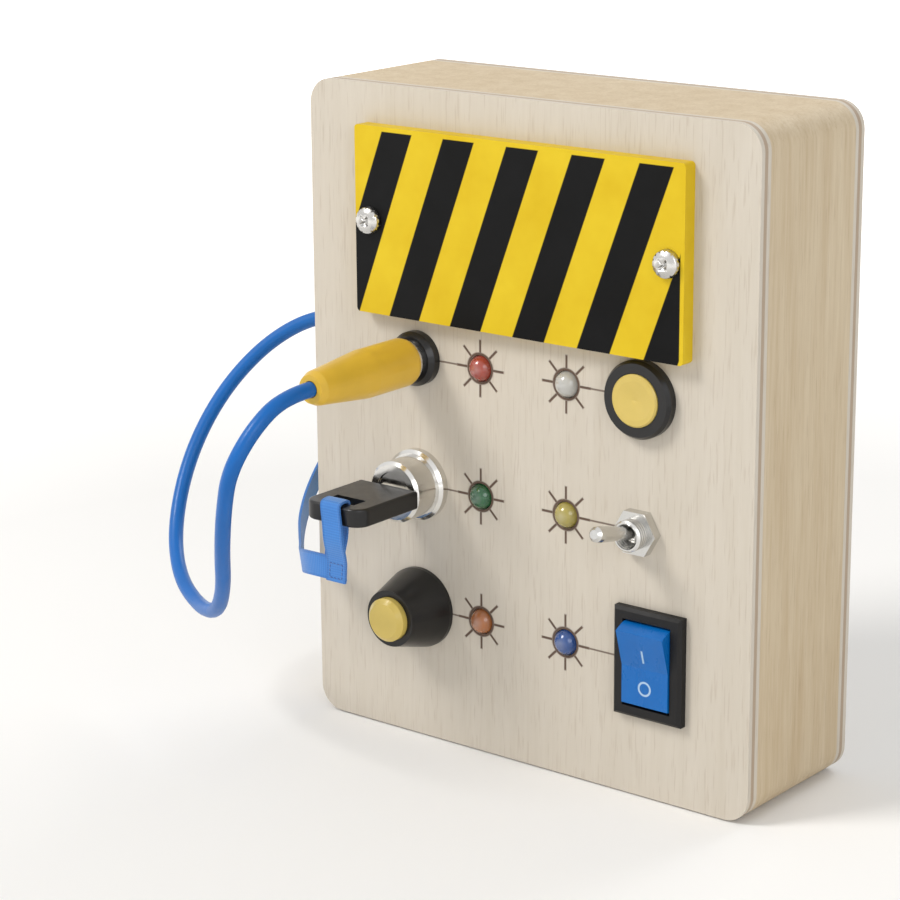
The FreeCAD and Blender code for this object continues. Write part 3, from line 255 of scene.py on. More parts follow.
def noise(tree, vector, scale, detail=2.0, roughness=0.5):
    """Soft cloudy noise, as a field."""
    values = {"Vector": vector, "Scale": scale, "Detail": detail, "Roughness": roughness}
    return Field(tree, add(tree, "TexNoise", values).outputs["Fac"])


def mixed(tree, share, first, second):
    """Two colours mixed by a field."""
    node = add(tree, "Mix", data_type="RGBA")
    feed(tree, node.inputs["Factor"], share)
    feed(tree, node.inputs[6], first)
    feed(tree, node.inputs[7], second)
    return node.outputs[2]


def new_group(name, inputs, outputs):
    """A shader group with named number inputs and outputs."""
    tree = bpy.data.node_groups.new(name, "ShaderNodeTree")
    for label, value in inputs.items():
        socket = tree.interface.new_socket(label, in_out="INPUT", socket_type="NodeSocketFloat")
        socket.default_value = value
    for label in outputs:
        tree.interface.new_socket(label, in_out="OUTPUT", socket_type="NodeSocketFloat")
    given = tree.nodes.new("NodeGroupInput")
    made = tree.nodes.new("NodeGroupOutput")
    return tree, {label: Field(tree, given.outputs[label]) for label in inputs}, made


def use_group(tree, group, **inputs):
    """Places a group in a material. Its outputs come back as fields by name."""
    node = tree.nodes.new("ShaderNodeGroup")
    node.node_tree = group
    for name, value in inputs.items():
        feed(tree, node.inputs[name], value)
    return {socket.name: Field(tree, socket) for socket in node.outputs}


def new_material(name, slot, **plain):
    """A material with one shader, whose plain values are set on the shader's own sockets."""
    material = bpy.data.materials.new(name)
    material.use_nodes = True
    tree = material.node_tree
    tree.nodes.clear()
    shader = add(tree, "BsdfPrincipled")
    tree.links.new(shader.outputs[0], add(tree, "OutputMaterial").inputs[0])
    for label, value in plain.items():
        shader.inputs[label.replace("_", " ")].default_value = value
    material["finish_slot"] = slot
    return material, tree, shader


def raise_surface(tree, shader, height, depth):
    """Bumps a surface by a height field. Depth is in millimetres."""
    bump = add(tree, "Bump", {"Strength": 1.0, "Distance": depth * MM, "Height": height})
    tree.links.new(bump.outputs[0], shader.inputs["Normal"])


# Shared effects


def make_wood_grain():
    """Fine streaks along Z with soft bands of tone, and short pores."""
    tree, given, made = new_group("wood_grain", {"Streak": 1.0}, ["Tone", "Pores"])
    broad = noise(tree, stretched(tree, (1.0, 1.0, 0.09)), 260, 3, 0.55)
    fine = noise(tree, stretched(tree, (1.0, 1.0, 0.035)), 1500, 3, 0.6)
    cloud = noise(tree, stretched(tree, (1.0, 1.0, 0.6)), 28, 2, 0.5)
    tone = broad * 0.42 + fine * 0.38 + cloud * 0.2
    feed(tree, made.inputs["Tone"], (tone - 0.5) * given["Streak"] + 0.5)
    pores = noise(tree, stretched(tree, (1.0, 1.0, 0.05)), 3200, 1, 0.5)
    feed(tree, made.inputs["Pores"], pores.rise(0.60, 0.70))
    return tree


def make_skin():
    """The faint unevenness of a moulded or plated surface: tone, roughness and fine height."""
    tree, given, made = new_group("skin", {"Grain": 900.0}, ["Tone", "Rough", "Height"])
    spot = add(tree, "TexCoord").outputs["Object"]
    feed(tree, made.inputs["Tone"], noise(tree, spot, 90, 3, 0.6))
    smears = noise(tree, stretched(tree, (1.0, 1.0, 0.4)), 220, 4, 0.65)
    feed(tree, made.inputs["Rough"], smears.rise(0.35, 0.75))
    feed(tree, made.inputs["Height"], noise(tree, spot, given["Grain"], 2, 0.5))
    return tree


def make_thread():
    """Fine rings of a screw thread about any axis along Y."""
    tree, given, made = new_group("screw_thread", {"Pitch": 0.5}, ["Height"])
    depth = place_of(tree)[1]
    turn = (depth / given["Pitch"]) % 1.0
    feed(tree, made.inputs["Height"], abs(turn - 0.5) * 2)
    return tree


WOOD_GRAIN = make_wood_grain()
SKIN = make_skin()
THREAD = make_thread()


# Wood, with its depths in millimetres

FACE_PALE = paint(212, 204, 191)
FACE_DARK = paint(197, 187, 171)
RAIL_PALE = paint(214, 198, 170)
RAIL_DARK = paint(188, 166, 132)
EDGE_LAYER = paint(150, 118, 84)
PORE = paint(140, 112, 84)
SCORCH = paint(74, 46, 30)
BOARD_THICK = 3.0
GRAIN_DEPTH = 0.06

# Engraved marks round each lamp in millimetres: where an edge starts to fade and where it ends

RING_INSIDE = (2.35, 2.5)
RING_OUTSIDE = (2.95, 3.2)
MARK_START = (3.0, 3.1)
RAY_END = (5.4, 5.7)
RAY_SIDE = (0.16, 0.32)
LEAD_END = (17, 17.1)
LEAD_SIDE = (0.12, 0.22)
RAY_COUNT = 8


def wood_surface(tree, pale, dark, streak):
    """Wood's colour and its height field."""
    grain = use_group(tree, WOOD_GRAIN, Streak=streak)
    colour = mixed(tree, grain["Tone"].rise(0.2, 0.8), pale, dark)
    colour = mixed(tree, grain["Pores"] * 0.16, colour, PORE)
    return colour, grain["Tone"] - grain["Pores"] * 0.6


def marks_on_panel(tree):
    """Engraved rings, rays and lead lines around the lamps: how dark, from 0 to 1."""
    across, along = about_lamp(tree)
    radius = distance(across, along)
    between = math.tau / RAY_COUNT
    angle = along.math("ARCTAN2", across)
    aside = abs((((angle + between / 2) % between) - between / 2).math("SINE") * radius)
    ray = aside.fall(*RAY_SIDE).both(radius.rise(*MARK_START)).both(radius.fall(*RAY_END))
    lead = abs(along).fall(*LEAD_SIDE).both(across.rise(*MARK_START)).both(across.fall(*LEAD_END))
    ring = radius.rise(*RING_INSIDE).both(radius.fall(*RING_OUTSIDE))
    z = place_of(tree)[2]
    bottom = (ROW_LOW - ROW_PITCH / 2) / MM
    top = bottom + ROW_COUNT * ROW_PITCH / MM
    rows = z.rise(bottom, bottom + 0.1).both(z.fall(top - 0.1, top))
    return (lead * 0.8).either(ray).either(ring).both(rows)


def edge_layers(tree):
    """The darker middle layer of three, seen on a board's edges only."""
    _, y, _ = place_of(tree)
    depth = abs(abs(y) - (abs(PANEL_FRONT) / MM - BOARD_THICK / 2))
    sideways = abs(facing_of(tree)[1]).fall(0.3, 0.6)
    return depth.fall(0.45, 0.55).both(sideways) * 0.6


def make_front_wood():
    """Pale plywood with laser marks around the lamps, and its layers on the edges."""
    material, tree, shader = new_material("front_plywood", "plywood", Specular_IOR_Level=0.35)
    colour, height = wood_surface(tree, FACE_PALE, FACE_DARK, 0.9)
    marks = marks_on_panel(tree).both(front_of(tree))
    colour = mixed(tree, edge_layers(tree), colour, EDGE_LAYER)
    colour = mixed(tree, marks * 0.9, colour, SCORCH)
    feed(tree, shader.inputs["Base Color"], colour)
    feed(tree, shader.inputs["Roughness"], marks * 0.2 + 0.58)
    raise_surface(tree, shader, height * 0.35 - marks * 1.6, GRAIN_DEPTH)
    return material


def make_back_wood():
    """The plain plywood of the back."""
    material, tree, shader = new_material("back_plywood", "plywood", Specular_IOR_Level=0.35)
    colour, height = wood_surface(tree, FACE_PALE, FACE_DARK, 1.1)
    colour = mixed(tree, edge_layers(tree), colour, EDGE_LAYER)
    feed(tree, shader.inputs["Base Color"], colour)
    shader.inputs["Roughness"].default_value = 0.62
    raise_surface(tree, shader, height * 0.35, GRAIN_DEPTH)
    return material


def make_rail_wood():
    """The solid wood of the case's four rails, darker and with stronger grain than the boards."""
    material, tree, shader = new_material("rail_wood", "solid_wood", Specular_IOR_Level=0.35)
    colour, height = wood_surface(tree, RAIL_PALE, RAIL_DARK, 1.5)
    feed(tree, shader.inputs["Base Color"], colour)
    shader.inputs["Roughness"].default_value = 0.6
    raise_surface(tree, shader, height * 0.5, GRAIN_DEPTH)
    return material


# Plastics, metals and lamps

BLACK = paint(25, 24, 24)
SILVER = paint(214, 213, 210)
PLATING_GRAIN = 700.0


def skinned(tree, shader, colour, shade, rough, spread, grain, depth):
    """Gives a shader its skin: uneven gloss and a fine texture. The uneven colour comes back."""
    skin = use_group(tree, SKIN, Grain=grain)
    darker = tuple(value * shade for value in colour[:3]) + (1.0,)
    tone = mixed(tree, skin["Tone"].rise(0.3, 0.7), colour, darker)
    feed(tree, shader.inputs["Roughness"], skin["Rough"] * spread + rough)
    raise_surface(tree, shader, skin["Height"], depth)
    return tone


def make_plastic(name, slot, colour, rough=0.4, depth=0.01, coat=0.0, grain=2200.0):
    """Moulded plastic with a fine texture."""
    material, tree, shader = new_material(
        name, slot, Coat_Weight=coat, Coat_Roughness=0.12, Specular_IOR_Level=0.3)
    tone = skinned(tree, shader, colour, 0.88, rough, 0.12, grain, depth)
    feed(tree, shader.inputs["Base Color"], tone)
    return material


def make_metal(name, slot, colour, rough=0.15, depth=0.003):
    """Plated or bare metal, faintly uneven."""
    material, tree, shader = new_material(name, slot, Metallic=1.0)
    tone = skinned(tree, shader, colour, 0.85, rough, 0.12, PLATING_GRAIN, depth)
    feed(tree, shader.inputs["Base Color"], tone)
    return material


def make_threaded(name, slot, colour, pitch):
    """Plated metal with a screw thread."""
    material, tree, shader = new_material(name, slot, Metallic=1.0)
    tone = skinned(tree, shader, colour, 0.85, 0.2, 0.12, PLATING_GRAIN, 0.003)
    feed(tree, shader.inputs["Base Color"], tone)
    thread = use_group(tree, THREAD, Pitch=pitch)["Height"]
    flank = abs(facing_of(tree)[1]).fall(0.2, 0.5)
    raise_surface(tree, shader, thread * flank, 0.12)
    return material


def make_lamp(name, colour):
    """A tinted, slightly milky lamp body with a painted highlight at its centre and painted shade
    round its rim.
    """
    material, tree, shader = new_material(
        name, name, Transmission_Weight=0.35, IOR=1.5, Coat_Weight=0.6, Coat_Roughness=0.05)
    radius = distance(*about_lamp(tree))
    highlight_colour = tuple(value * 0.55 + 0.3 for value in colour[:3]) + (1.0,)
    rim_shade_colour = tuple(value * 0.35 for value in colour[:3]) + (1.0,)
    cloud = use_group(tree, SKIN, Grain=500.0)
    # Painted highlight: the lamp's centre is paler, with a little random cloud in it
    highlight_and_cloud = radius.fall(0.4, 1.5) * 0.5 + cloud["Tone"] * 0.1
    # Painted shade: the lamp's rim is a deeper, darker colour
    rim_shade = radius.rise(1.6, 2.5) * 0.45
    tone = mixed(tree, highlight_and_cloud, colour, highlight_colour)
    feed(tree, shader.inputs["Base Color"], mixed(tree, rim_shade, tone, rim_shade_colour))
    feed(tree, shader.inputs["Roughness"], cloud["Rough"] * 0.1 + 0.18)
    raise_surface(tree, shader, cloud["Height"], 0.01)
    return material


def make_striped():
    """The yellow cover with its slanting black stripes printed on the front."""
    material, tree, shader = new_material(
        "striped_cover", "striped_plate", Specular_IOR_Level=0.1)
    x, _, z = place_of(tree)
    top = high("battery_cover").z / MM
    right = high("battery_cover").x / MM
    pitch = 14.65
    black_share = 0.495
    edge_blur = 0.012
    lean = 0.38
    first_left = -30.9
    margin = 0.9
    top_edge = (top - 0.95, top - 0.8)
    right_edge = (right - 0.9, right - 0.75)
    wave = (x - first_left + (z * -1 + top - margin) * lean) / pitch % 1.0
    stripe = wave.rise(0, edge_blur).both(wave.fall(black_share, black_share + edge_blur))
    stripe = stripe.both(z.fall(*top_edge)).both(x.fall(*right_edge)).both(front_of(tree))
    skin = use_group(tree, SKIN, Grain=1500.0)
    yellow = mixed(tree, skin["Tone"].rise(0.3, 0.7), paint(224, 194, 44), paint(214, 180, 34))
    black = mixed(tree, skin["Tone"].rise(0.3, 0.7), paint(18, 18, 19), paint(12, 12, 12))
    feed(tree, shader.inputs["Base Color"], mixed(tree, stripe, yellow, black))
    feed(tree, shader.inputs["Roughness"], skin["Rough"] * 0.12 + 0.34 + stripe * 0.06)
    raise_surface(tree, shader, stripe * 0.5 + skin["Height"] * 0.12, 0.03)
    return material


def make_rocker_blue():
    """The glossy paddle with a bar on its upper half and a ring on its lower half."""
    material, tree, shader = new_material(
        "rocker_blue", "rocker_blue", Coat_Weight=0.15, Coat_Roughness=0.1,
        Specular_IOR_Level=0.3)
    x, _, z = place_of(tree)
    centre = middle("rocker_frame")
    across = x - centre.x / MM
    along = z - centre.z / MM
    half_stroke = (0.14, 0.24)
    bar_up = 2.2
    half_bar = (1.25, 1.35)
    ring_down = 4.2
    ring_radius = 1.25
    bar = abs(across).fall(*half_stroke).both(abs(along - bar_up).fall(*half_bar))
    ring = abs(distance(across, along + ring_down) - ring_radius).fall(*half_stroke)
    marks = bar.either(ring).both(front_of(tree, -0.8))
    skin = use_group(tree, SKIN, Grain=1500.0)
    blue = mixed(tree, skin["Tone"].rise(0.3, 0.7), paint(8, 106, 186), paint(6, 96, 172))
    feed(tree, shader.inputs["Base Color"], mixed(tree, marks * 0.8, blue, paint(190, 214, 232)))
    feed(tree, shader.inputs["Roughness"], skin["Rough"] * 0.1 + 0.25)
    raise_surface(tree, shader, skin["Height"] * 0.1 - marks * 0.5, 0.03)
    return material


def make_lock_chrome():
    """Bright plating with a small dark index mark at the left of the lock's face."""
    material, tree, shader = new_material("lock_chrome", "chrome", Metallic=1.0)
    tone = skinned(tree, shader, paint(226, 224, 220), 0.8, 0.12, 0.14, 900.0, 0.004)
    x, y, z = place_of(tree)
    dot_left = 5.0
    face = low("lock_body").y / MM
    dot = distance(x - (KEY_X / MM - dot_left), z - ROW_MIDDLE / MM).fall(0.5, 0.6)
    dot = dot.both(y.fall(face + 0.5, face + 0.6))
    feed(tree, shader.inputs["Base Color"], mixed(tree, dot, tone, paint(20, 20, 20)))
    return material


def make_ribbon_weave(name, sewn_length=0):
    """Woven ribbon: fine ribs across its length with painted shade in their grooves, and a raised
    edge, on its own map.

    A loop's length, where it is given, adds a square of stitches at both its ends.
    """
    material, tree, shader = new_material(name, "ribbon_blue", Sheen_Weight=0.3)
    across, along, _ = place_of(tree, "UV")
    rib_pitch = 0.5
    thread_pitch = 0.42
    ribs = abs((along / rib_pitch) % 1.0 - 0.5) * 2
    threads = abs((across / thread_pitch) % 1.0 - 0.5) * 2
    half = RIBBON_WIDTH / MM / 2
    edge = abs(across - half).rise(half - 0.5, half - 0.35)
    skin = use_group(tree, SKIN, Grain=800.0)
    # Painted shade: the ribs' grooves are darker and their crests paler, mixed with random tone
    shade = ribs * 0.4 + skin["Tone"] * 0.5
    blue = mixed(tree, shade, paint(36, 106, 186), paint(70, 144, 218))
    colour = mixed(tree, edge * 0.35, blue, paint(26, 90, 166))
    height = ribs * 0.6 + threads * 0.3 + edge * 0.6
    if sewn_length:
        half_length = sewn_length / MM / 2
        half_square = 1.5
        stitch_pitch = 0.9
        from_end = abs(along - half_length) * -1 + half_length
        square = abs(from_end - half).either(abs(across - half))
        dashes = ((from_end + across) / stitch_pitch % 1.0).fall(0.6, 0.7)
        stitches = abs(square - half_square).fall(0.09, 0.17).both(dashes)
        colour = mixed(tree, stitches * 0.8, colour, paint(20, 62, 132))
        height = height + stitches
    feed(tree, shader.inputs["Base Color"], colour)
    shader.inputs["Roughness"].default_value = 0.7
    raise_surface(tree, shader, height, 0.06)
    return material


def make_board_green():
    """Circuit board with paler copper runs under its varnish."""
    material, tree, shader = new_material(
        "board_green", "board_green", Coat_Weight=0.4, Coat_Roughness=0.15)
    hole_pitch = 2.54
    x = place_of(tree)[0]
    runs = abs((x / hole_pitch) % 1.0 - 0.5).fall(0.09, 0.12)
    breaks = noise(tree, stretched(tree, (1.0, 1.0, 0.25)), 120, 0, 0.5).rise(0.48, 0.52)
    skin = use_group(tree, SKIN, Grain=1500.0)
    green = mixed(tree, skin["Tone"], paint(20, 84, 48), paint(28, 98, 56))
    colour = mixed(tree, runs.both(breaks) * 0.6, green, paint(70, 140, 84))
    feed(tree, shader.inputs["Base Color"], colour)
    feed(tree, shader.inputs["Roughness"], skin["Rough"] * 0.1 + 0.35)
    raise_surface(tree, shader, runs, 0.03)
    return material


def make_resistor():
    """A resistor's tan body with coloured bands along its length."""
    material, tree, shader = new_material("resistor_body", "resistor_body", Coat_Weight=0.3)
    band_pitch = 1.3
    along = about_lamp(tree)[1]
    band = abs((along / band_pitch) % 1.0 - 0.5).fall(0.14, 0.17)
    band = band.both(abs(along).fall(2.1, 2.2))
    skin = use_group(tree, SKIN, Grain=900.0)
    tan = mixed(tree, skin["Tone"], paint(206, 180, 132), paint(188, 160, 112))
    feed(tree, shader.inputs["Base Color"], mixed(tree, band, tan, paint(140, 50, 30)))
    feed(tree, shader.inputs["Roughness"], skin["Rough"] * 0.1 + 0.4)
    raise_surface(tree, shader, skin["Height"], 0.02)
    return material


def make_cell_jacket():
    """A cell's dark printed jacket with a coppery end band."""
    material, tree, shader = new_material("cell_jacket", "cell_jacket", Metallic=0.4)
    band = abs(place_of(tree)[0]).rise(15.0, 15.2)
    skin = use_group(tree, SKIN, Grain=700.0)
    dark = mixed(tree, skin["Tone"], paint(44, 46, 50), paint(60, 62, 66))
    feed(tree, shader.inputs["Base Color"], mixed(tree, band, dark, paint(186, 132, 84)))
    feed(tree, shader.inputs["Roughness"], skin["Rough"] * 0.1 + 0.3)
    raise_surface(tree, shader, skin["Height"], 0.01)
    return material


plywood_front = make_front_wood()
plywood_back = make_back_wood()
rail_wood = make_rail_wood()
striped = make_striped()
black_gloss = make_plastic("black_gloss", "black_plastic", BLACK, 0.28, 0.006, 0.2)
black_matte = make_plastic("black_matte", "black_plastic", BLACK, 0.5, 0.02)
cap_yellow = make_plastic("cap_yellow", "cap_yellow", paint(214, 188, 98), 0.3, 0.006, 0.3)
sleeve_yellow = make_plastic("sleeve_yellow", "plug_yellow", paint(226, 184, 62), 0.32, 0.01, 0.2)
cord_blue = make_plastic("cord_blue", "cord_blue", paint(6, 102, 184), 0.36, 0.01, 0.1)
rocker_blue = make_rocker_blue()
lock_chrome = make_lock_chrome()
nickel = make_metal("nickel", "nickel", SILVER, 0.18)
nickel_thread = make_threaded("nickel_thread", "nickel", SILVER, 0.6)
screw_steel = make_metal("screw_steel", "screw_steel", paint(206, 204, 200), 0.22)
key_steel = make_metal("key_steel", "key_steel", paint(208, 204, 194), 0.28)
tinned = make_metal("tinned_copper", "copper_tin", paint(206, 200, 186), 0.35)
lead_red = make_plastic("lead_red", "lead_red", paint(150, 24, 22), 0.4, 0.01)
ribbon_weave = make_ribbon_weave("ribbon_weave")
ribbon_cloth = make_plastic("ribbon_cloth", "ribbon_blue", paint(44, 116, 196), 0.7, 0.05, 0.0, 1600)
board_green = make_board_green()
resistor_body = make_resistor()
cell_jacket = make_cell_jacket()

LAMP_COLOURS = {
    "red": paint(196, 74, 52),
    "white": paint(224, 222, 214),
    "green": paint(14, 110, 56),
    "yellow": paint(204, 186, 84),
    "orange": paint(204, 122, 60),
    "blue": paint(30, 88, 170),
}

FINISHES = [
    (plywood_front, ["front_panel"]),
    (plywood_back, ["back_panel"]),
    (rail_wood, ["left_rail", "right_rail", "top_rail", "bottom_rail"]),
    (striped, ["battery_cover"]),
    (black_gloss, ["push_bezel", "latch_bezel", "socket_collar", "key_head"]),
    (black_matte, ["rocker_frame", "battery_tray", "toggle_body", "lock_base", "cord_tie",
                   "board_spacers"]),
    (cap_yellow, ["push_cap", "latch_cap"]),
    (sleeve_yellow, ["plug_sleeve"]),
    (cord_blue, ["cord_tail"]),
    (rocker_blue, ["rocker_paddle"]),
    (lock_chrome, ["lock_body", "lock_rotor"]),
    (nickel, ["toggle_nuts", "toggle_lever", "plug_pin", "plug_cage", "socket_sleeve",
              "socket_nut", "panel_nuts", "battery_springs", "battery_contacts", "push_spring",
              "latch_spring"]),
    (nickel_thread, ["toggle_bushing"]),
    (screw_steel, ["board_screws"]),
    (key_steel, ["key_blade"]),
    (tinned, ["led_pins", "solder_tabs"]),
    (lead_red, ["inner_leads"]),
    (ribbon_cloth, ["ribbon_knot"]),
    (board_green, ["led_board"]),
    (resistor_body, ["resistors"]),
    (cell_jacket, ["battery_cells"]),
]
for name, tint in LAMP_COLOURS.items():
    FINISHES.append((make_lamp(f"lamp_{name}", tint), [f"led_{name}"]))

for material, nodes in FINISHES:
    for node in nodes:
        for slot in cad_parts[node].material_slots:
            slot.material = material


# Finishing a new piece


def dress(piece, material, *nodes):
    """Finishes a new piece and lets it stand for its CAD nodes."""
    piece.data.materials.clear()
    piece.data.materials.append(material)
    if nodes:
        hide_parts(*nodes)
    return piece


def take(piece, material, body, *nodes):
    """Finishes a new piece and rides it on its body."""
    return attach(dress(piece, material, *nodes), body)


def select_only(piece):
    """Selects one piece, and nothing else, for the operators."""
    bpy.ops.object.select_all(action="DESELECT")
    piece.select_set(True)
    bpy.context.view_layer.objects.active = piece


# Screws. A cross recess's width and depth are shares of its reach, and its arms taper inwards.

COVER_HEAD_RADIUS = 2.65 * MM
BACK_HEAD_RADIUS = 2.8 * MM
CROSS_WIDTH = 0.34
CROSS_DEPTH = 0.62
CROSS_TAPER = 0.55


def merged_copy(node, name):
    """A copy of a CAD node whose loose triangles are joined, ready to be cut."""
    piece = bpy.data.objects.new(name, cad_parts[node].data.copy())
    bpy.context.collection.objects.link(piece)
    select_only(piece)
    bpy.ops.object.mode_set(mode="EDIT")
    bpy.ops.mesh.select_all(action="SELECT")
    bpy.ops.mesh.remove_doubles(threshold=1e-6)
    bpy.ops.object.mode_set(mode="OBJECT")
    return piece


def cross_cutter(centre, facing, reach, width, depth):
    """A cross with tapering arms that points into a screw's head."""
    arms = []
    for turn in (0.25, 0.75):
        bpy.ops.mesh.primitive_cube_add(size=1, location=(0, 0, 0))
        arm = bpy.context.object
        arm.scale = (reach * 2, width, depth * 2)
        arm.rotation_euler = (0, 0, turn * math.pi)
        bpy.ops.object.transform_apply(location=False, rotation=True, scale=True)
        bpy.ops.object.mode_set(mode="EDIT")
        edit = bmesh.from_edit_mesh(arm.data)
        for vert in edit.verts:
            if vert.co.z < 0:
                vert.co.x *= CROSS_TAPER
                vert.co.y *= CROSS_TAPER
        bmesh.update_edit_mesh(arm.data)
        bpy.ops.object.mode_set(mode="OBJECT")
        arms.append(arm)
    for arm in arms:
        arm.rotation_euler = Vector(facing).to_track_quat("Z", "Y").to_euler()
        arm.location = centre
    return arms


def cut(piece, cutters):
    """Takes the cutters away from a piece and deletes them."""
    for cutter in cutters:
        select_only(piece)
        change = piece.modifiers.new("cut", "BOOLEAN")
        change.operation = "DIFFERENCE"
        change.solver = "EXACT"
        change.object = cutter
        bpy.ops.object.modifier_apply(modifier=change.name)
        bpy.data.objects.remove(cutter)
    select_only(piece)
    bpy.ops.object.shade_smooth_by_angle(angle=math.radians(35))


def make_screws(node, name, centres, facing, reach):
    """Cross-headed screws made from a CAD node's plain ones."""
    piece = merged_copy(node, name)
    for centre in centres:
        cut(piece, cross_cutter(centre, facing, reach, reach * CROSS_WIDTH, reach * CROSS_DEPTH))
    take(piece, screw_steel, "case", node)


def heads_of(node, radius, y, rows):
    """The heads' centres: a head's radius in from the sides of the node's box, in each row."""
    sides = (low(node).x + radius, high(node).x - radius)
    return [Vector((x, y, z)) for x in sides for z in rows]


cover_row = [middle("cover_screws").z]
cover_heads = heads_of("cover_screws", COVER_HEAD_RADIUS, low("cover_screws").y, cover_row)
make_screws("cover_screws", "cover_cross_screws", cover_heads, (0, -1, 0), 1.55 * MM)

back_rows = [low("back_screws").z + BACK_HEAD_RADIUS, high("back_screws").z - BACK_HEAD_RADIUS]
back_heads = heads_of("back_screws", BACK_HEAD_RADIUS, high("back_screws").y, back_rows)
make_screws("back_screws", "back_cross_screws", back_heads, (0, 1, 0), 1.6 * MM)


# Cord and ribbon


def route_curve(name, points):
    """A smooth open curve with given control points, in millimetres."""
    curve = bpy.data.curves.new(name, "CURVE")
    curve.dimensions = "3D"
    curve.resolution_u = 12
    spline = curve.splines.new("NURBS")
    spline.points.add(len(points) - 1)
    for knot, point in zip(spline.points, points):
        knot.co = (*(value * MM for value in point), 1.0)
    spline.order_u = 3
    spline.use_endpoint_u = True
    piece = bpy.data.objects.new(name, curve)
    bpy.context.collection.objects.link(piece)
    return piece


def line_of(points):
    """The points along the smooth curve that a route's points shape."""
    guide = route_curve("guide", points)
    bpy.context.view_layer.update()
    mesh = bpy.data.meshes.new_from_object(guide)
    line = [vert.co.copy() for vert in mesh.vertices]
    bpy.data.objects.remove(guide)
    return line


def length_of(line):
    """A line's length from its first point to its last."""
    return sum((after - before).length for before, after in zip(line, line[1:]))


def make_cord():
    """The plug's cord: a tube along its route that stands for the CAD cord."""
    guide = route_curve("guide", CORD_ROUTE)
    guide.data.bevel_depth = CORD_RADIUS
    guide.data.bevel_resolution = 5
    guide.data.use_fill_caps = True
    bpy.context.view_layer.update()
    piece = bpy.data.objects.new("plug_lead", bpy.data.meshes.new_from_object(guide))
    bpy.data.objects.remove(guide)
    bpy.context.collection.objects.link(piece)
    select_only(piece)
    bpy.ops.object.shade_smooth_by_angle(angle=math.radians(40))
    dress(piece, cord_blue, "plug_cord")
    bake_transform(piece)
    line = line_of(CORD_ROUTE)
    length_of(line)


def widths_along(line, width):
    """The ribbon's width direction at each point, carried along the line without twisting."""
    widths = [Vector(width)]
    steps = [(after - before).normalized() for before, after in zip(line, line[1:])]
    for before, after in zip(steps, steps[1:]):
        widths.append(before.rotation_difference(after) @ widths[-1])
    return [widths[0]] + widths


def make_band(name, line, widths):
    """A flat ribbon along a line, with a width direction at each point. Its map is in metres."""
    mesh = bpy.data.meshes.new(name)
    edit = bmesh.new()
    map_layer = edit.loops.layers.uv.new("weave")
    rows = []
    travelled = 0.0
    for index, (spot, width) in enumerate(zip(line, widths)):
        if index:
            travelled += (spot - line[index - 1]).length
        side = width.normalized() * RIBBON_WIDTH
        across = [edit.verts.new(spot + side * (step / RIBBON_STRIPS - 0.5))
                  for step in range(RIBBON_STRIPS + 1)]
        rows.append((travelled, across))
    for (start, first), (end, second) in zip(rows, rows[1:]):
        for step in range(RIBBON_STRIPS):
            face = edit.faces.new((first[step], first[step + 1], second[step + 1], second[step]))
            places = ((step, start), (step + 1, start), (step + 1, end), (step, end))
            for loop, (column, passed) in zip(face.loops, places):
                loop[map_layer].uv = (column / RIBBON_STRIPS * RIBBON_WIDTH, passed)
            face.smooth = True
    edit.to_mesh(mesh)
    piece = bpy.data.objects.new(name, mesh)
    bpy.context.collection.objects.link(piece)
    select_only(piece)
    thicken = piece.modifiers.new("thickness", "SOLIDIFY")
    thicken.thickness = RIBBON_THICK
    thicken.offset = 0
    bpy.ops.object.modifier_apply(modifier=thicken.name)
    bpy.ops.object.shade_smooth_by_angle(angle=math.radians(40))
    return piece


def make_ribbon(loop):
    """The ribbon in two pieces: the part beside the case and its sewn end."""
    line = line_of(RIBBON_ROUTE)
    lap = line[-1] + Vector((RIBBON_WIDTH, 0, 0))
    widths = widths_along([lap] + line[::-1], (0, 0, 1))[::-1]
    line.append(lap)
    split = next(place for place, spot in enumerate(line) if spot.y < RIBBON_SPLIT)
    near, far = line[:split + 1], line[split:]
    tail = make_band("ribbon_tail", near, widths[:split + 1])
    dress(tail, ribbon_weave, "key_ribbon")
    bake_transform(tail)
    sewn_end = make_band("ribbon_sewn_end", far, widths[split:])
    dress(sewn_end, ribbon_weave)
    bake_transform(sewn_end)
    length_of(near)


def make_ribbon_loop():
    """The loop round the key's outer bar. Its two strands hang apart and meet at the seam."""
    seam = Vector(RIBBON_ROUTE[-1])
    foot = seam.z - RIBBON_WIDTH / MM / 2
    apart = 0.6
    half_thick = 0.3
    below_bar = 1.8
    bar_far = high("key_loop").y / MM - half_thick
    bar_near = seam.y * 2 - bar_far
    over = high("key_loop").z / MM - half_thick
    under = middle("key_head").z / MM - below_bar
    key_x = KEY_X / MM
    route = [
        (key_x - 0.4, seam.y + apart, foot),
        (key_x - 0.6, seam.y + apart, foot + 2.2),
        (key_x - 1.1, seam.y + apart + 0.2, foot + 4.6),
        (key_x - 1.3, bar_far + 0.5, under - 3.0),
        (key_x - 0.9, bar_far, under),
        (key_x - 0.3, bar_far, over - 1.2),
        (key_x - 0.1, bar_far - 0.3, over),
        (key_x + 0.1, seam.y, over + 0.15),
        (key_x + 0.3, bar_near + 0.3, over),
        (key_x + 0.5, bar_near, over - 1.2),
        (key_x + 1.0, bar_near - 0.1, under),
        (key_x + 1.4, bar_near - 0.4, under - 3.0),
        (key_x + 1.1, seam.y - apart - 0.3, foot + 4.6),
        (key_x + 0.7, seam.y - apart, foot + 2.2),
        (key_x + 0.5, seam.y - apart, foot),
    ]
    line = line_of(route)
    piece = make_band("ribbon_loop", line, [Vector((1, 0, 0))] * len(line))
    take(piece, make_ribbon_weave("ribbon_sewn", length_of(line)), "key", "key_loop")
    return piece


make_cord()
make_ribbon(make_ribbon_loop())


# Stage, lights and camera

CASE_MIDDLE = Vector((0, 0, 0.06))
FLOOR_GAP = 0.3 * MM
WORLD_LIGHT = 0.6
WORLD_SEEN = 1.16


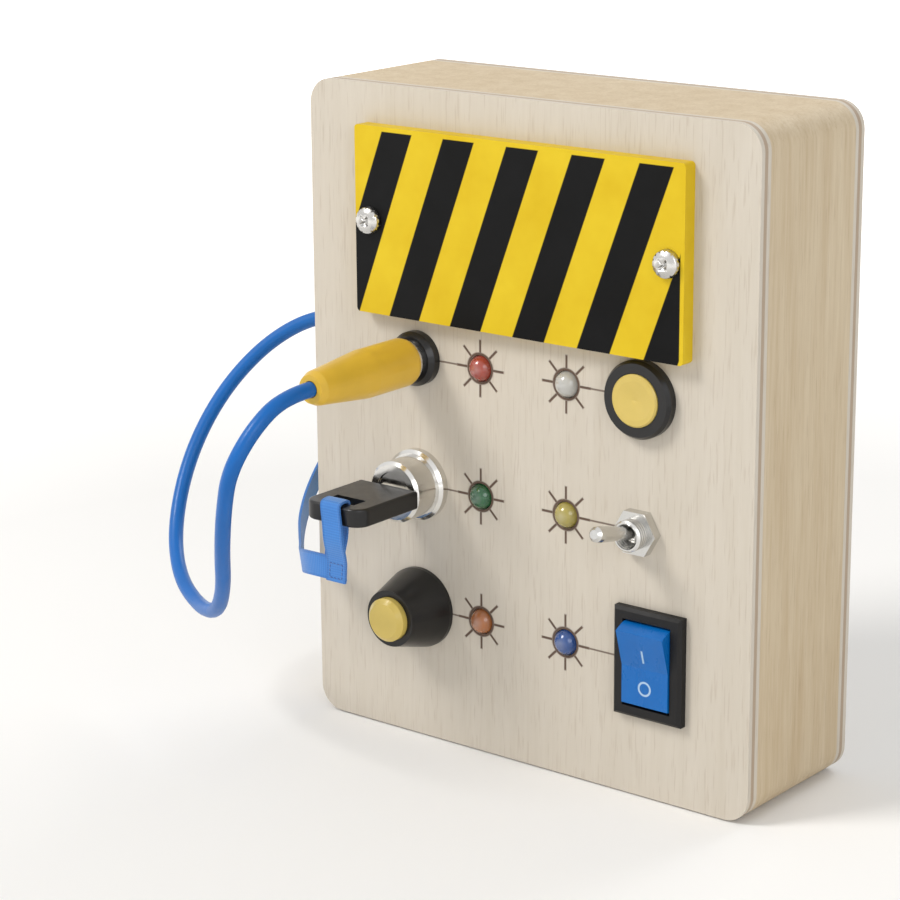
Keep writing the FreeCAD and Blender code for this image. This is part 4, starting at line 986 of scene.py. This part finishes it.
def seen_from(tree):
    """1 for what is seen straight, in a mirror or through glass, and 0 for what only gives light."""
    rays = add(tree, "LightPath").outputs
    straight = Field(tree, rays["Is Camera Ray"])
    return straight.either(Field(tree, rays["Is Glossy Ray"])).either(
        Field(tree, rays["Is Transmission Ray"]))


def make_floor():
    """A wide pale floor that turns white far from the case."""
    bpy.ops.mesh.primitive_plane_add(size=12, location=(0, 0, -FLOOR_GAP))
    floor = bpy.context.object
    floor.name = "floor"
    material, tree, shader = new_material("pale_floor", "", Roughness=0.9)
    shader.inputs["Base Color"].default_value = paint(244, 243, 241)
    x, y, _ = place_of(tree)
    white = distance(x, y).rise(200, 900) * seen_from(tree)
    shader.inputs["Emission Color"].default_value = (1, 1, 1, 1)
    feed(tree, shader.inputs["Emission Strength"], white * 0.9)
    floor.data.materials.append(material)


def make_light(name, place, size, power, warmth):
    """A round soft light, turned to the case."""
    data = bpy.data.lights.new(name, "AREA")
    data.shape = "DISK"
    data.size = size
    data.energy = power
    data.color = warmth
    lamp = bpy.data.objects.new(name, data)
    bpy.context.collection.objects.link(lamp)
    lamp.location = place
    lamp.rotation_euler = (CASE_MIDDLE - Vector(place)).to_track_quat("-Z", "Y").to_euler()


def make_world():
    """Even pale light from all round, seen as plain white."""
    world = bpy.data.worlds.new("studio")
    world.use_nodes = True
    tree = world.node_tree
    background = tree.nodes["Background"]
    background.inputs[0].default_value = paint(240, 240, 240)
    strength = seen_from(tree) * (WORLD_SEEN - WORLD_LIGHT) + WORLD_LIGHT
    feed(tree, background.inputs[1], strength)
    bpy.context.scene.world = world


def make_camera():
    """The camera, turned to its aim and then rolled."""
    data = bpy.data.cameras.new("photo_camera")
    data.lens = CAMERA_LENS
    data.sensor_width = CAMERA_SENSOR
    data.clip_start = 0.01
    camera = bpy.data.objects.new("photo_camera", data)
    bpy.context.collection.objects.link(camera)
    look = (CAMERA_AIM - CAMERA_PLACE).to_track_quat("-Z", "Y").to_matrix().to_4x4()
    turn = Matrix.Rotation(CAMERA_ROLL, 4, "Z")
    camera.matrix_world = Matrix.Translation(CAMERA_PLACE) @ look @ turn
    bpy.context.scene.camera = camera


make_floor()
make_light("key_light", (-0.55, -0.75, 0.95), size=0.45, power=9.0, warmth=(1.0, 0.98, 0.95))
make_light("fill_light", (0.9, -0.6, 0.5), size=0.7, power=3.0, warmth=(0.95, 0.97, 1.0))
make_light("back_light", (0.1, 0.9, 0.8), size=0.6, power=3.0, warmth=(1.0, 1.0, 1.0))
make_world()
make_camera()
bpy.context.scene.view_settings.view_transform = "Standard"
